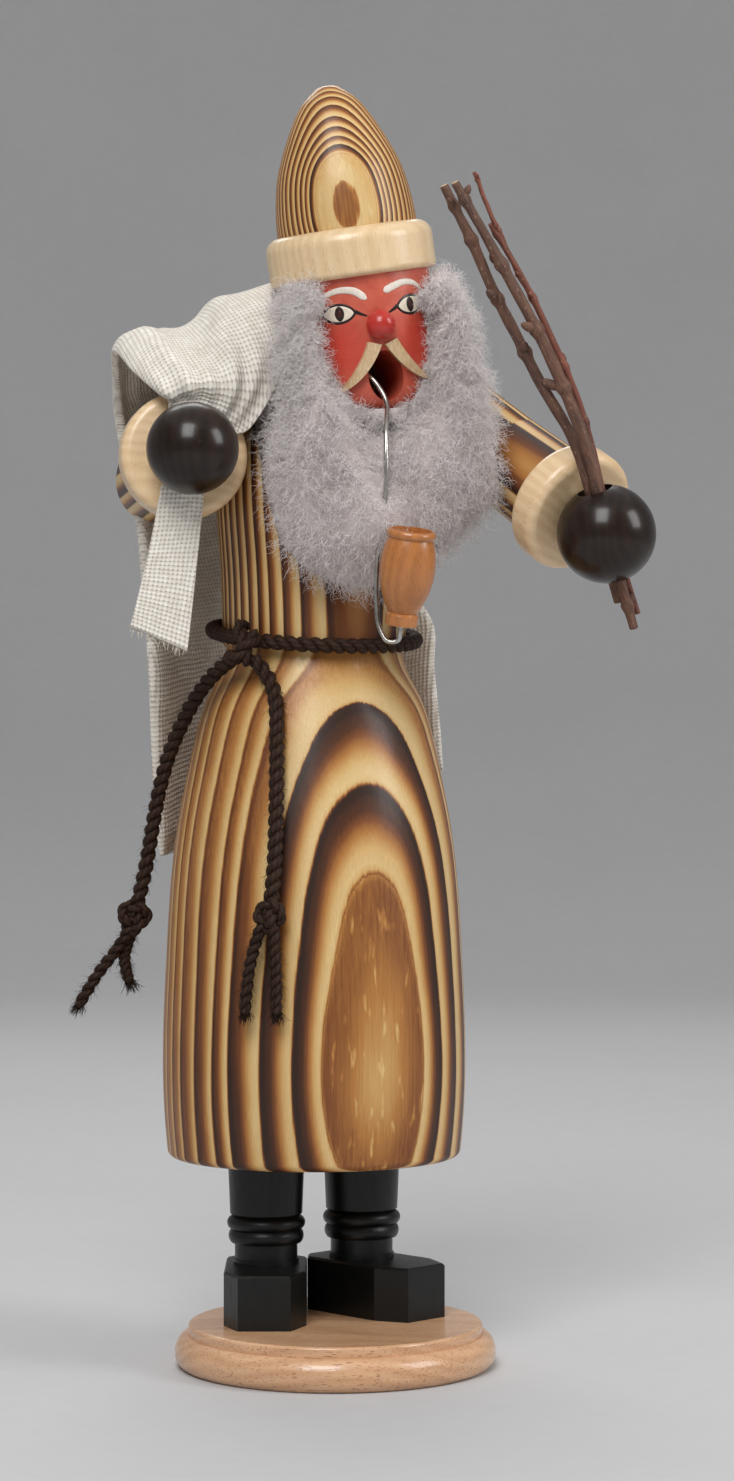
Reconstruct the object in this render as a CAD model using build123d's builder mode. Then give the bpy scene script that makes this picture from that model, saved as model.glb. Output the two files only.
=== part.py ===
from build123d import *

import os
from math import cos, pi, radians, sin, tan

# Turned wooden incense smoker, in millimetres: +Z is up, the figure faces -Y and its left is +X.
# The origin is the centre of the base plate's underside.

# Fits
glue_gap = 0.05
loose_gap = 0.3
soft_gap = 0.4

# Base plate
base_radius = 43.0
base_height = 11.5
base_top_radius = 39.5
base_tuck = 2.2
base_belly_height = 3.6
base_step_height = 8.7
base_step_width = 0.9

# Shoes and legs
body_setback = 15.5
leg_spread = 14.0
shoe_splay = 22.0
shoe_height = 14.5
shoe_width = 22.0
shoe_toe_width = 14.0
shoe_toe_reach = 25.0
shoe_heel_reach = 14.0
shoe_corner_length = 9.0
shoe_heel_corner = 4.0
shoe_edge_round = 0.6
leg_hem_radius = 10.4
leg_shank_radius = 9.8
leg_ring_radius = 10.6
leg_low_ring_radius = 10.2
leg_neck_radius = 8.5
leg_flange_radius = 8.9
leg_flange_height = 1.2
leg_neck_height = 4.4
leg_ring_height = 3.6
leg_groove_depth = 0.7
leg_foot_tenon_radius = 4.0
leg_foot_tenon_depth = 6.0
leg_top_tenon_radius = 6.0
leg_top_tenon_depth = 16.0

# Coat skirt
hem_height = 54.5
hem_round = 2.2
coat_radius = 41.2
coat_waist_radius = 24.0
waist_height = 193.0
coat_outline = ((0.155, 1.0), (0.40, 0.945), (0.60, 0.826), (0.70, 0.70), (0.80, 0.53), (0.90, 0.29),
                (0.955, 0.075))
spigot_radius = 17.0
spigot_height = 9.0
air_groove_width = 3.0
air_groove_depth = 2.0
air_groove_count = 3

# Incense tray and its nail
tray_radius = 13.0
tray_height = 2.6
tray_wall = 0.5
nail_radius = 0.9
nail_length = 9.0
nail_head_radius = 2.2
nail_head_height = 0.7

# Torso
torso_top_height = 282.5
torso_foot_radius = 25.0
torso_foot_chamfer = 0.9
chest_radius = 27.0
torso_outline = ((0.10, 0.06), (0.257, 0.36), (0.40, 0.82), (0.53, 1.0))
dome_outline = ((0.80, 0.895), (0.90, 0.70), (0.966, 0.43))
chamber_roof = 34.5
chamber_corner = 6.0

# Head, turned and tilted on its shelf
head_drop = 2.5
head_centre = Vector(4.0, -7.5, torso_top_height - head_drop)
head_lean = Vector(-0.18, -0.058, 1.0)
head_turn = 8.5
head_radius = 20.0
head_bottom = 27.0
head_top = 11.0
head_flat = 10.0
chin_round = 9.0
mouth_drop = 15.5
mouth_half_width = 4.75
mouth_half_height = 6.6
flue_radius = 4.75
flue_reach = 20.0
neck_dowel_radius = 3.0
neck_dowel_depth = 9.0
neck_dowel_rise = 0.0

# Nose and moustache
nose_radius = 3.8
nose_stand = 1.6
nose_drop = 2.2
nose_peg_radius = 1.2
nose_peg_depth = 5.0
moustache_thickness = 2.0
moustache_upper_edge = ((3.9, -6.2), (6.1, -10.4), (9.2, -14.6))
moustache_lower_edge = ((0.5, -7.4), (3.2, -11.6), (7.4, -15.8))
moustache_tip = (12.8, -18.6)

# Hat
hat_band_radius = 22.3
hat_band_height = 13.0
hat_band_round = 4.0
hat_band_foot_round = 1.6
crown_radius = 18.7
crown_height = 38.0
crown_outline = ((0.2, 0.97), (0.4, 0.89), (0.6, 0.73), (0.8, 0.52), (0.9, 0.37), (0.96, 0.225))
hat_peg_radius = 9.0
hat_peg_depth = 10.0

# Beard
beard_sections = (
    (9.0, -1.0, -9.0, 22.5, 12.0),
    (-8.0, 1.5, -15.0, 27.5, 17.0),
    (-37.0, 2.0, -17.0, 31.0, 17.5),
    (-60.0, 1.0, -19.0, 27.0, 14.0),
    (-72.0, -1.0, -18.5, 17.0, 8.5),
    (-77.0, -1.0, -18.0, 7.0, 4.0),
)
face_opening_half_width = 16.5
face_opening_half_height = 19.5
face_opening_drop = 6.5

# Pipe
stem_radius = 0.65
stem_mouth_route = (
    (-7.2, -14.5, -12.4),
    (-3.6, -19.0, -15.4),
    (-1.0, -21.6, -22.0),
)
stem_route = (
    (-0.2, -35.4, -33.5),
    (-0.3, -36.2, -47.1),
    (-0.9, -32.2, -61.0),
    (-1.2, -31.0, -73.0),
    (-0.8, -31.4, -82.6),
    (0.9, -33.2, -87.0),
)
stem_rise = 4.6
bowl_foot = Vector(4.0, -35.6, head_centre.Z - 82.4)
bowl_top = bowl_foot + Vector(0.6, -5.8, 24.2)
bowl_radius = 7.2
bowl_rim_radius = 6.4
bowl_foot_radius = 4.3
bowl_groove_depth = 0.6
bowl_groove_height = 2.6
bowl_rim_height = 2.2
bowl_dish_depth = 1.6

# Arms
shoulder_spread = 22.0
shoulder_drop = 11.5
shoulder_height = torso_top_height - shoulder_drop
shoulder_setback = 14.0
shoulder_flat = 17.5
shoulder_flat_radius = 11.4
shoulder_dowel_radius = 3.5
shoulder_dowel_depth = 6.0
shoulder_dowel_drop = 5.0
sleeve_shoulder_radius = 11.2
sleeve_elbow_radius = 12.5
sleeve_cuff_radius = 13.0
upper_arm_length = {"right": 36.6, "left": 44.8}
upper_arm_aim = {"right": Vector(-17.2, 12.2, -30.7), "left": Vector(23.4, -26.4, -27.6)}
forearm_length = {"right": 28.2, "left": 28.6}
forearm_aim = {"right": Vector(-0.18, -0.98, 0.05), "left": Vector(0.245, -0.835, -0.49)}
elbow_dowel_radius = 3.0
elbow_dowel_depth = 7.0
cuff_radius = 16.8
cuff_thickness = 9.6
cuff_rim = 2.6
hand_radius = {"right": 12.0, "left": 13.0}
hand_reach = 16.0
wrist_dowel_radius = 3.0
wrist_dowel_depth = 5.5

# Twigs, their points given from the middle of the left hand
twig_grip_radius = 4.7
twig_stout_radii = (1.1, 1.4, 1.5, 1.5, 1.2)
twig_stout_points = (
    (-49.1, -6.2, 87.0),
    (-30.5, -4.1, 54.9),
    (-10.3, -2.1, 22.1),
    (-1.1, 1.2, 0.0),
    (5.7, 4.1, -17.5),
)
twig_long_radii = (1.1, 1.5, 1.6, 1.6, 1.0)
twig_long_points = (
    (-48.0, -10.6, 87.2),
    (-28.6, -9.3, 57.7),
    (-9.8, -6.5, 24.3),
    (-0.7, -2.5, 0.0),
    (8.7, 1.2, -24.5),
)
twig_slim_radii = (0.7, 0.9, 0.95, 0.95, 0.7)
twig_slim_points = (
    (-37.1, -8.3, 77.9),
    (-22.7, -7.1, 56.6),
    (-8.7, -4.1, 30.2),
    (1.9, -0.2, 0.5),
    (10.7, 3.1, -20.5),
)
twig_fork_radius = 0.6
twig_fork_points = (
    (-42.4, -9.9, 90.3),
    (-32.1, -8.2, 70.5),
    (-24.7, -7.2, 59.5),
)

# Sack of linen: a bag on the back, gathered over the right shoulder into the right hand
bag_inner = ((42.5, 129.0), (41.0, 160.0), (37.0, 205.0), (34.0, shoulder_height - 23.0))
bag_thickness = 8.5
bag_start_angle = 18.0
bag_end_angle = 148.0
bag_floor_left = 157.0
bag_floor_right = 134.0
bag_floor_half_span = 40.0
bag_left_edge = (Vector(47.0, 0.0, 156.0), Vector(41.0, 0.0, 205.0), Vector(2.0, 0.0, shoulder_height - 9.0))
bag_right_edge = (Vector(-32.5, 0.0, 135.0), Vector(-44.0, 0.0, 226.0))
drape_sections = (
    (Vector(-42.0, 44.7, -37.0), Vector(14.0, 55.7, -35.0), Vector(0.1, 0.05, -1.0), 5.0),
    (Vector(-50.0, 40.7, -13.0), Vector(4.0, 50.7, -9.0), Vector(0.1, 0.35, -1.0), 5.0),
    (Vector(-56.0, 28.0, -1.0), Vector(-8.0, 38.0, 13.0), Vector(0.1, 0.8, -0.65), 4.0),
    (Vector(-57.0, 14.0, -1.0), Vector(-13.0, 18.0, 20.0), Vector(0.0, 1.0, 0.05), 4.0),
    (Vector(-56.0, 1.0, -6.0), Vector(-19.5, -1.0, 12.0), Vector(0.1, 0.8, 0.6), 4.0),
    (Vector(-52.0, -8.5, -14.0), Vector(-24.0, -11.5, -7.0), Vector(0.05, 0.3, 1.0), 2.8),
)
drape_end_width = 17.0
drape_end_thickness = 1.4
drape_end_rise = 11.0
drape_end_shift = 3.0
strip_thickness = 2.0
strip_outline = ((13.0, 15.0), (12.0, 7.0), (4.4, -11.0), (-0.9, -45.0), (-15.3, -51.5), (-15.8, -38.0),
                 (-9.5, -6.0), (-6.0, 7.0), (-6.0, 15.0))

# Belt cord, its knot and its two hanging tails, with heights given from the waist
cord_diameter = 4.0
belt_radius = 27.7
belt_rise = 3.4
belt_tilt = 8.0
knot_centre = Vector(-25.6, -1.3, waist_height - 2.4)
knot_radius = 4.4
knot_length = 9.0
knot_round = 3.0
long_tail_route = (
    (-27.4, 1.6, -3.0),
    (-29.9, 6.4, -5.4),
    (-32.2, 11.6, -9.4),
    (-34.4, 16.2, -14.4),
    (-36.6, 20.4, -21.0),
    (-38.9, 24.2, -29.0),
    (-40.6, 26.8, -38.0),
    (-41.8, 28.6, -47.4),
    (-42.9, 29.8, -56.6),
    (-44.2, 30.8, -64.6),
    (-45.6, 31.5, -70.6),
)
short_tail_route = (
    (-24.4, -3.4, -4.2),
    (-21.8, -5.6, -7.8),
    (-20.5, -8.0, -12.6),
    (-20.9, -10.8, -19.4),
    (-22.0, -13.4, -28.4),
    (-23.0, -15.9, -39.0),
    (-24.0, -17.8, -50.0),
    (-24.8, -18.9, -59.6),
    (-26.0, -19.5, -68.0),
)
tail_knot_radius = 3.9
tail_knot_length = 6.4
strand_diameter = 2.4
long_tail_strands = (
    ((-47.3, 31.8, -76.4), (-50.6, 33.4, -82.6), (-55.4, 35.6, -88.6), (-60.2, 37.6, -97.6)),
    ((-46.0, 33.0, -76.6), (-47.8, 34.2, -81.6), (-48.4, 34.4, -86.2), (-47.0, 33.9, -91.0)),
)
short_tail_strands = (
    ((-28.4, -19.0, -73.6), (-30.4, -18.2, -79.6), (-31.8, -17.4, -87.4), (-32.4, -17.2, -96.4)),
    ((-25.9, -21.4, -73.8), (-25.7, -21.3, -80.2), (-25.2, -21.6, -87.6), (-25.5, -21.9, -96.4)),
)

sides = {"right": -1, "left": 1}
up = Vector(0, 0, 1)
body_plane = Plane.XZ.offset(-body_setback)
body_axis = Axis((0, body_setback, 0), (0, 0, 1))
shoe_top = base_height + shoe_height
coat_height = waist_height - hem_height
torso_height = torso_top_height - waist_height
chamber_height = torso_height - chamber_roof

os.makedirs("parts", exist_ok=True)


def save(part, name):
    part.label = name
    export_step(part, f"parts/{name}.step")


def lathe_plane(origin, axis):
    """A plane whose local Y runs along axis, so that a profile in it is (radius, length)."""
    along = Vector(axis).normalized()
    across = along.cross(up).normalized()
    return Plane(origin=origin, x_dir=across, z_dir=across.cross(along))


def span(low, high, share):
    return low + (high - low) * share


# Head frame: local -Y is the face's forward direction and local Z is the head's own axis
turned_left = Vector(cos(radians(head_turn)), -sin(radians(head_turn)), 0)
head_axis = head_lean.normalized()
head_left = (turned_left - head_axis * turned_left.dot(head_axis)).normalized()
head_plane = Plane(origin=head_centre, x_dir=head_left, z_dir=head_axis)
face_plane = Plane(origin=head_centre, x_dir=head_left, z_dir=head_left.cross(head_axis))
hat_axis = Axis(head_centre, head_axis)


def head_point(left, back, rise):
    return head_plane.from_local_coords(Vector(left, back, rise))


def route_radii(points):
    """The largest radius that each corner of a bent tube's two runs leave room for."""
    radii = []
    for before, corner, after in zip(points, points[1:], points[2:]):
        run = min((corner - before).length, (after - corner).length)
        turn = radians((corner - before).get_angle(after - corner))
        radii.append(0.45 * run / tan(turn / 2))
    return radii


def at_waist(left, back, rise):
    return Vector(left, back, waist_height + rise)


def tube(points, radius, extra=0.0):
    with BuildPart() as bent:
        with BuildLine() as route:
            FilletPolyline(*points, radius=route_radii(points))
        with BuildSketch(Plane(origin=route.line @ 0, z_dir=route.line % 0)):
            Circle(radius + extra)
        sweep()
    return bent.part


# Pipe stem: from the mouth's side wall over the lip, down the beard and up into the bowl's foot
bowl_line = (bowl_top - bowl_foot).normalized()
bowl_height = (bowl_top - bowl_foot).length
stem_path = [head_point(*point) for point in stem_mouth_route]
stem_path += [Vector(left, back, head_centre.Z + rise) for left, back, rise in stem_route]
stem_path += [bowl_foot - bowl_line * stem_rise, bowl_foot]

# Base plate: a turned disc with a rounded belly and a small step under its top edge
with BuildPart() as base_plate:
    with BuildSketch(Plane.XZ):
        with BuildLine():
            under = base_radius - base_tuck
            step = base_top_radius + base_step_width
            Polyline((0, base_height), (0, 0), (under, 0))
            ThreePointArc((under, 0), (base_radius - base_tuck * 0.25, base_belly_height * 0.38),
                          (base_radius, base_belly_height))
            ThreePointArc((base_radius, base_belly_height),
                          (span(step, base_radius, 0.72), span(base_belly_height, base_step_height, 0.66)),
                          (step, base_step_height))
            bead_top = base_height - base_step_width
            Polyline((step, base_step_height), (base_top_radius, base_step_height),
                     (base_top_radius, bead_top))
            ThreePointArc((base_top_radius, bead_top),
                          (base_top_radius - base_step_width * 0.29, base_height - base_step_width * 0.29),
                          (base_top_radius - base_step_width, base_height))
            Line((base_top_radius - base_step_width, base_height), (0, base_height))
        make_face()
    revolve(axis=Axis.Z)
    for side in sides.values():
        with BuildSketch(Plane.XY.offset(base_height)):
            with Locations((side * leg_spread, body_setback)):
                Circle(leg_foot_tenon_radius + glue_gap)
        extrude(amount=-leg_foot_tenon_depth - glue_gap, mode=Mode.SUBTRACT)
save(base_plate.part, "base_plate")


def shoe(side):
    turn = radians(side * shoe_splay)
    half, toe = shoe_width / 2, shoe_toe_width / 2
    corner = shoe_toe_reach - shoe_corner_length
    heel = shoe_heel_reach - shoe_heel_corner
    sole = Plane(origin=(side * leg_spread, body_setback, base_height), x_dir=(cos(turn), sin(turn), 0),
                 z_dir=(0, 0, 1))
    with BuildPart() as block:
        with BuildSketch(sole):
            Polygon((toe, -shoe_toe_reach), (half, -corner), (half, heel), (toe, shoe_heel_reach),
                    (-toe, shoe_heel_reach), (-half, heel), (-half, -corner), (-toe, -shoe_toe_reach),
                    align=None)
        extrude(amount=shoe_height)
        chamfer(block.faces().sort_by(Axis.Z)[-1].edges(), shoe_edge_round)
        with BuildSketch(sole):
            Circle(leg_foot_tenon_radius + glue_gap)
        extrude(amount=shoe_height, mode=Mode.SUBTRACT)
    return block.part


def leg(side):
    low_ring = shoe_top + leg_flange_height + leg_neck_height
    high_ring = low_ring + leg_ring_height
    shank = high_ring + leg_ring_height
    groove = leg_low_ring_radius - leg_groove_depth
    foot = base_height - leg_foot_tenon_depth
    with BuildPart() as turned:
        with BuildSketch(body_plane):
            with BuildLine():
                Polyline((0, foot), (leg_foot_tenon_radius, foot),
                         (leg_foot_tenon_radius, shoe_top), (leg_flange_radius, shoe_top),
                         (leg_flange_radius, shoe_top + leg_flange_height),
                         (leg_neck_radius, shoe_top + leg_flange_height), (leg_neck_radius, low_ring),
                         (groove, low_ring))
                ThreePointArc((groove, low_ring), (leg_low_ring_radius, low_ring + leg_ring_height / 2),
                              (groove, high_ring))
                ThreePointArc((groove, high_ring), (leg_ring_radius, high_ring + leg_ring_height / 2),
                              (leg_shank_radius - leg_groove_depth, shank))
                Polyline((leg_shank_radius - leg_groove_depth, shank),
                         (leg_shank_radius, shank + leg_groove_depth), (leg_hem_radius, hem_height),
                         (leg_top_tenon_radius, hem_height),
                         (leg_top_tenon_radius, hem_height + leg_top_tenon_depth),
                         (0, hem_height + leg_top_tenon_depth), (0, foot))
            make_face()
        revolve(axis=body_axis)
    return turned.part.translate((side * leg_spread, 0, 0))


for name, side in sides.items():
    save(shoe(side), f"shoe_{name}")
    save(leg(side), f"leg_{name}")

# Coat skirt: a flared turning with a spigot for the lift-off torso, air grooves and the two leg holes
with BuildPart() as coat_skirt:
    coat_points = [(span(coat_waist_radius, coat_radius, bulge), span(hem_height, waist_height, rise))
                   for rise, bulge in coat_outline]
    hem_corner = (coat_points[0][0] - hem_round * 0.55, hem_height + hem_round)
    with BuildSketch(body_plane):
        with BuildLine():
            Polyline((0, waist_height + spigot_height), (0, hem_height),
                     (hem_corner[0] - hem_round, hem_height))
            ThreePointArc((hem_corner[0] - hem_round, hem_height),
                          (hem_corner[0] - hem_round * 0.29, hem_height + hem_round * 0.29), hem_corner)
            Spline(hem_corner, *coat_points, (coat_waist_radius, waist_height))
            Polyline((coat_waist_radius, waist_height), (spigot_radius, waist_height),
                     (spigot_radius, waist_height + spigot_height), (0, waist_height + spigot_height))
        make_face()
    revolve(axis=body_axis)
    for side in sides.values():
        with BuildSketch(Plane.XY.offset(hem_height)):
            with Locations((side * leg_spread, body_setback)):
                Circle(leg_top_tenon_radius + glue_gap)
        extrude(amount=leg_top_tenon_depth + glue_gap, mode=Mode.SUBTRACT)
    groove_length = coat_waist_radius - spigot_radius + air_groove_depth
    with BuildSketch(Plane(origin=(0, body_setback, waist_height - air_groove_depth))):
        groove_middle = spigot_radius - air_groove_depth + groove_length / 2
        with PolarLocations(groove_middle, air_groove_count, start_angle=90):
            Rectangle(groove_length, air_groove_width)
    extrude(amount=air_groove_depth + spigot_height, mode=Mode.SUBTRACT)
    with BuildSketch(Plane(origin=(0, body_setback, waist_height + spigot_height))):
        Circle(nail_radius)
    extrude(amount=tray_wall - nail_length, mode=Mode.SUBTRACT)
save(coat_skirt.part, "coat_skirt")

# Tin tray for the incense cone, and the flat-headed nail that holds it
tray_base = waist_height + spigot_height
with BuildPart() as incense_tray:
    with BuildSketch(Plane(origin=(0, body_setback, tray_base))):
        Circle(tray_radius)
    extrude(amount=tray_height)
    with BuildSketch(Plane(origin=(0, body_setback, tray_base + tray_wall))):
        Circle(tray_radius - tray_wall)
    extrude(amount=tray_height, mode=Mode.SUBTRACT)
    with BuildSketch(Plane(origin=(0, body_setback, tray_base))):
        Circle(nail_radius)
    extrude(amount=tray_wall, mode=Mode.SUBTRACT)
save(incense_tray.part, "incense_tray")

with BuildPart() as tray_nail:
    nail_seat = tray_base + tray_wall
    with BuildSketch(Plane(origin=(0, body_setback, nail_seat))):
        Circle(nail_radius)
    extrude(amount=-nail_length)
    with BuildSketch(Plane(origin=(0, body_setback, nail_seat))):
        Circle(nail_head_radius)
    extrude(amount=nail_head_height)
save(tray_nail.part, "tray_nail")


def torso_solid(extra=0.0):
    """The torso's turned outside, or a copy that is larger by extra all round."""
    side_points = [(span(torso_foot_radius, chest_radius, bulge) + extra, waist_height + torso_height * rise)
                   for rise, bulge in torso_outline]
    dome_points = [(chest_radius * bulge + extra, waist_height + torso_height * rise + extra * (1 - bulge))
                   for rise, bulge in dome_outline]
    foot = torso_foot_radius + extra
    crown = (0, torso_top_height + extra)
    with BuildPart() as turned:
        with BuildSketch(body_plane):
            with BuildLine():
                Polyline(crown, (0, waist_height), (foot - torso_foot_chamfer, waist_height),
                         (foot, waist_height + torso_foot_chamfer))
                Spline((foot, waist_height + torso_foot_chamfer), *side_points, *dome_points, crown,
                       tangents=((0, 1), (-1, 0)))
            make_face()
        revolve(axis=body_axis)
    return turned.part


def shoulder_point(side):
    return Vector(side * shoulder_spread, shoulder_setback, shoulder_height)


def shoulder_plane(side):
    """The torso's flat where the arm seats, facing outwards, at the dowel's centre."""
    seat = (side * shoulder_flat, shoulder_setback, shoulder_height - shoulder_dowel_drop)
    return Plane(origin=seat, x_dir=(0, side, 0), z_dir=(side, 0, 0))


# Torso: bored as the smoke chamber, notched for the head, flattened for the arms
chamber_top = waist_height + chamber_height
flue_foot = head_point(0, flue_reach, -mouth_drop)
with BuildPart() as chamber:
    with BuildSketch(Plane(origin=(0, body_setback, waist_height))):
        Circle(spigot_radius + loose_gap)
    extrude(amount=chamber_height)
    fillet(chamber.edges().sort_by(Axis.Z)[-1], chamber_corner)

with BuildPart() as torso:
    add(torso_solid())
    add(chamber.part, mode=Mode.SUBTRACT)
    with BuildSketch(head_plane.offset(-head_bottom)):
        with Locations((0, head_flat - chest_radius)):
            Rectangle(4 * chest_radius, 2 * chest_radius)
    extrude(amount=head_bottom + torso_top_height - head_centre.Z + chest_radius, mode=Mode.SUBTRACT)
    for side in sides.values():
        flat_centre = shoulder_plane(side).origin + up * shoulder_dowel_drop
        with BuildSketch(Plane(origin=flat_centre, z_dir=(side, 0, 0))):
            Circle(shoulder_flat_radius)
        extrude(amount=chest_radius, mode=Mode.SUBTRACT)
        with BuildSketch(shoulder_plane(side)):
            Circle(shoulder_dowel_radius + glue_gap)
        extrude(amount=-shoulder_dowel_depth - glue_gap, mode=Mode.SUBTRACT)
    with BuildSketch(Plane(origin=(flue_foot.X, flue_foot.Y, chamber_top - chamber_corner))):
        Circle(flue_radius)
    extrude(amount=flue_foot.Z + flue_radius - chamber_top + chamber_corner, mode=Mode.SUBTRACT)
    with BuildSketch(Plane(origin=head_point(0, head_flat, -mouth_drop), z_dir=head_plane.y_dir)):
        Circle(flue_radius)
    extrude(amount=flue_reach - head_flat, mode=Mode.SUBTRACT)
    with BuildSketch(Plane(origin=head_point(0, head_flat, neck_dowel_rise), z_dir=head_plane.y_dir)):
        Circle(neck_dowel_radius + glue_gap)
    extrude(amount=neck_dowel_depth + glue_gap, mode=Mode.SUBTRACT)
save(torso.part, "torso")

with BuildPart() as neck_dowel:
    with BuildSketch(Plane(origin=head_point(0, head_flat, neck_dowel_rise), z_dir=head_plane.y_dir)):
        Circle(neck_dowel_radius)
    extrude(amount=neck_dowel_depth, both=True)
save(neck_dowel.part, "neck_dowel")


# Head: a turned drum with a rounded chin, a flat back, the mouth bored through and a peg for the hat
with BuildPart() as head:
    with BuildSketch(face_plane):
        with BuildLine():
            Polyline((0, head_top + hat_band_height + hat_peg_depth), (0, -head_bottom),
                     (head_radius - chin_round, -head_bottom))
            chin_inset = chin_round * (1 - cos(pi / 4))
            ThreePointArc((head_radius - chin_round, -head_bottom),
                          (head_radius - chin_inset, chin_inset - head_bottom),
                          (head_radius, chin_round - head_bottom))
            Polyline((head_radius, chin_round - head_bottom), (head_radius, head_top),
                     (hat_peg_radius, head_top),
                     (hat_peg_radius, head_top + hat_band_height + hat_peg_depth),
                     (0, head_top + hat_band_height + hat_peg_depth))
        make_face()
    revolve(axis=hat_axis)
    split(bisect_by=Plane(origin=head_point(0, head_flat, 0), z_dir=head_plane.y_dir), keep=Keep.BOTTOM)
    with BuildSketch(face_plane.offset(-head_flat)):
        with Locations((0, -mouth_drop)):
            Ellipse(mouth_half_width, mouth_half_height)
    extrude(amount=head_radius + head_flat, mode=Mode.SUBTRACT)
    with BuildSketch(Plane(origin=head_point(0, head_flat, neck_dowel_rise), z_dir=head_plane.y_dir)):
        Circle(neck_dowel_radius + glue_gap)
    extrude(amount=-neck_dowel_depth - glue_gap, mode=Mode.SUBTRACT)
    with BuildSketch(face_plane.offset(head_radius)):
        with Locations((0, -nose_drop)):
            Circle(nose_peg_radius + glue_gap)
    extrude(amount=-nose_peg_depth - glue_gap, mode=Mode.SUBTRACT)
    add(tube(stem_path, stem_radius, glue_gap), mode=Mode.SUBTRACT)
save(head.part, "head")


def head_ring(thickness):
    """The space from the head's surface out to a thickness, over the height of the face."""
    with BuildPart() as ring:
        with BuildSketch(head_plane.offset(-head_bottom)):
            Circle(head_radius + thickness)
            Circle(head_radius, mode=Mode.SUBTRACT)
        extrude(amount=head_bottom + head_top)
    return ring.part


with BuildPart() as nose:
    with Locations(head_point(0, -head_radius - nose_stand, -nose_drop)):
        Sphere(nose_radius)
    with BuildSketch(head_plane.offset(-head_bottom)):
        Circle(head_radius)
    extrude(amount=head_bottom + head_top, mode=Mode.SUBTRACT)
    with BuildSketch(face_plane.offset(head_radius + nose_stand)):
        with Locations((0, -nose_drop)):
            Circle(nose_peg_radius)
    extrude(amount=-nose_peg_depth - nose_stand)
save(nose.part, "nose")


def moustache(side):
    upper, lower, (tip,) = [[(side * left, rise) for left, rise in edge]
                            for edge in (moustache_upper_edge, moustache_lower_edge, (moustache_tip,))]
    with BuildPart() as strip:
        with BuildSketch(face_plane):
            with BuildLine():
                Spline(*upper, tip)
                Spline(tip, *reversed(lower))
                Line(lower[0], upper[0])
            make_face()
        extrude(amount=head_radius + moustache_thickness)
        add(head_ring(moustache_thickness), mode=Mode.INTERSECT)
        with Locations(head_point(0, -head_radius - nose_stand, -nose_drop)):
            Sphere(nose_radius, mode=Mode.SUBTRACT)
    return strip.part


for name, side in sides.items():
    save(moustache(side), f"moustache_{name}")

# Hat band and pointed crown, both bored for the head's peg
hat_top = head_top + hat_band_height
with BuildPart() as hat_band:
    with BuildSketch(head_plane.offset(head_top)):
        Circle(hat_band_radius)
    extrude(amount=hat_band_height)
    rims = hat_band.edges().sort_by(hat_axis)
    fillet(rims[-1], hat_band_round)
    fillet(hat_band.edges().sort_by(hat_axis)[0], hat_band_foot_round)
    with BuildSketch(head_plane.offset(head_top)):
        Circle(hat_peg_radius + glue_gap)
    extrude(amount=hat_band_height, mode=Mode.SUBTRACT)
save(hat_band.part, "hat_band")

with BuildPart() as hat_crown:
    tip_rise = hat_top + crown_height
    crown_points = [(crown_radius * bulge, hat_top + crown_height * rise) for rise, bulge in crown_outline]
    with BuildSketch(face_plane):
        with BuildLine():
            Line((0, hat_top), (crown_radius, hat_top))
            Spline((crown_radius, hat_top), *crown_points, (0, tip_rise), tangents=((0, 1), (-1, 0)))
            Line((0, tip_rise), (0, hat_top))
        make_face()
    revolve(axis=hat_axis)
    with BuildSketch(head_plane.offset(hat_top)):
        Circle(hat_peg_radius + glue_gap)
    extrude(amount=hat_peg_depth + glue_gap, mode=Mode.SUBTRACT)
save(hat_crown.part, "hat_crown")


def elbow_point(name):
    return shoulder_point(sides[name]) + upper_arm_aim[name].normalized() * upper_arm_length[name]


def forearm_direction(name):
    return forearm_aim[name].normalized()


def cuff_point(name):
    return elbow_point(name) + forearm_direction(name) * forearm_length[name]


def hand_point(name):
    return cuff_point(name) + forearm_direction(name) * hand_reach


def mitre_plane(name):
    bend = upper_arm_aim[name].normalized() + forearm_direction(name)
    return Plane(origin=elbow_point(name), z_dir=bend.normalized())


def elbow_overrun(name):
    """How far a sleeve runs past the elbow's centre before the mitre trims it."""
    half_turn = radians(upper_arm_aim[name].get_angle(forearm_aim[name])) / 2
    return sleeve_cuff_radius * tan(half_turn) + sleeve_elbow_radius * 0.1


def upper_sleeve(name, extra=0.0):
    along = upper_arm_aim[name].normalized()
    overrun = elbow_overrun(name)
    with BuildPart() as sleeve:
        with BuildSketch(Plane(origin=shoulder_point(sides[name]), z_dir=along)):
            Circle(sleeve_shoulder_radius + extra)
        with BuildSketch(Plane(origin=elbow_point(name), z_dir=along)):
            Circle(sleeve_elbow_radius + extra)
        loft()
        with BuildSketch(Plane(origin=elbow_point(name), z_dir=along)):
            Circle(sleeve_elbow_radius + extra)
        extrude(amount=overrun)
        with Locations(shoulder_point(sides[name])):
            Sphere(sleeve_shoulder_radius + extra)
        split(bisect_by=mitre_plane(name), keep=Keep.BOTTOM)
    return sleeve.part


def forearm_sleeve(name, extra=0.0):
    along = forearm_direction(name)
    with BuildPart() as sleeve:
        with BuildSketch(Plane(origin=elbow_point(name), z_dir=along)):
            Circle(sleeve_elbow_radius + extra)
        with BuildSketch(Plane(origin=cuff_point(name) - along * (cuff_thickness / 2), z_dir=along)):
            Circle(sleeve_cuff_radius + extra)
        loft()
        with BuildSketch(Plane(origin=elbow_point(name), z_dir=along)):
            Circle(sleeve_elbow_radius + extra)
        extrude(amount=-elbow_overrun(name))
        split(bisect_by=mitre_plane(name), keep=Keep.TOP)
    return sleeve.part


def dowel(plane, radius, depth_in, depth_out):
    with BuildPart() as pin:
        with BuildSketch(plane.offset(-depth_in)):
            Circle(radius)
        extrude(amount=depth_in + depth_out)
    return pin.part


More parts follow.
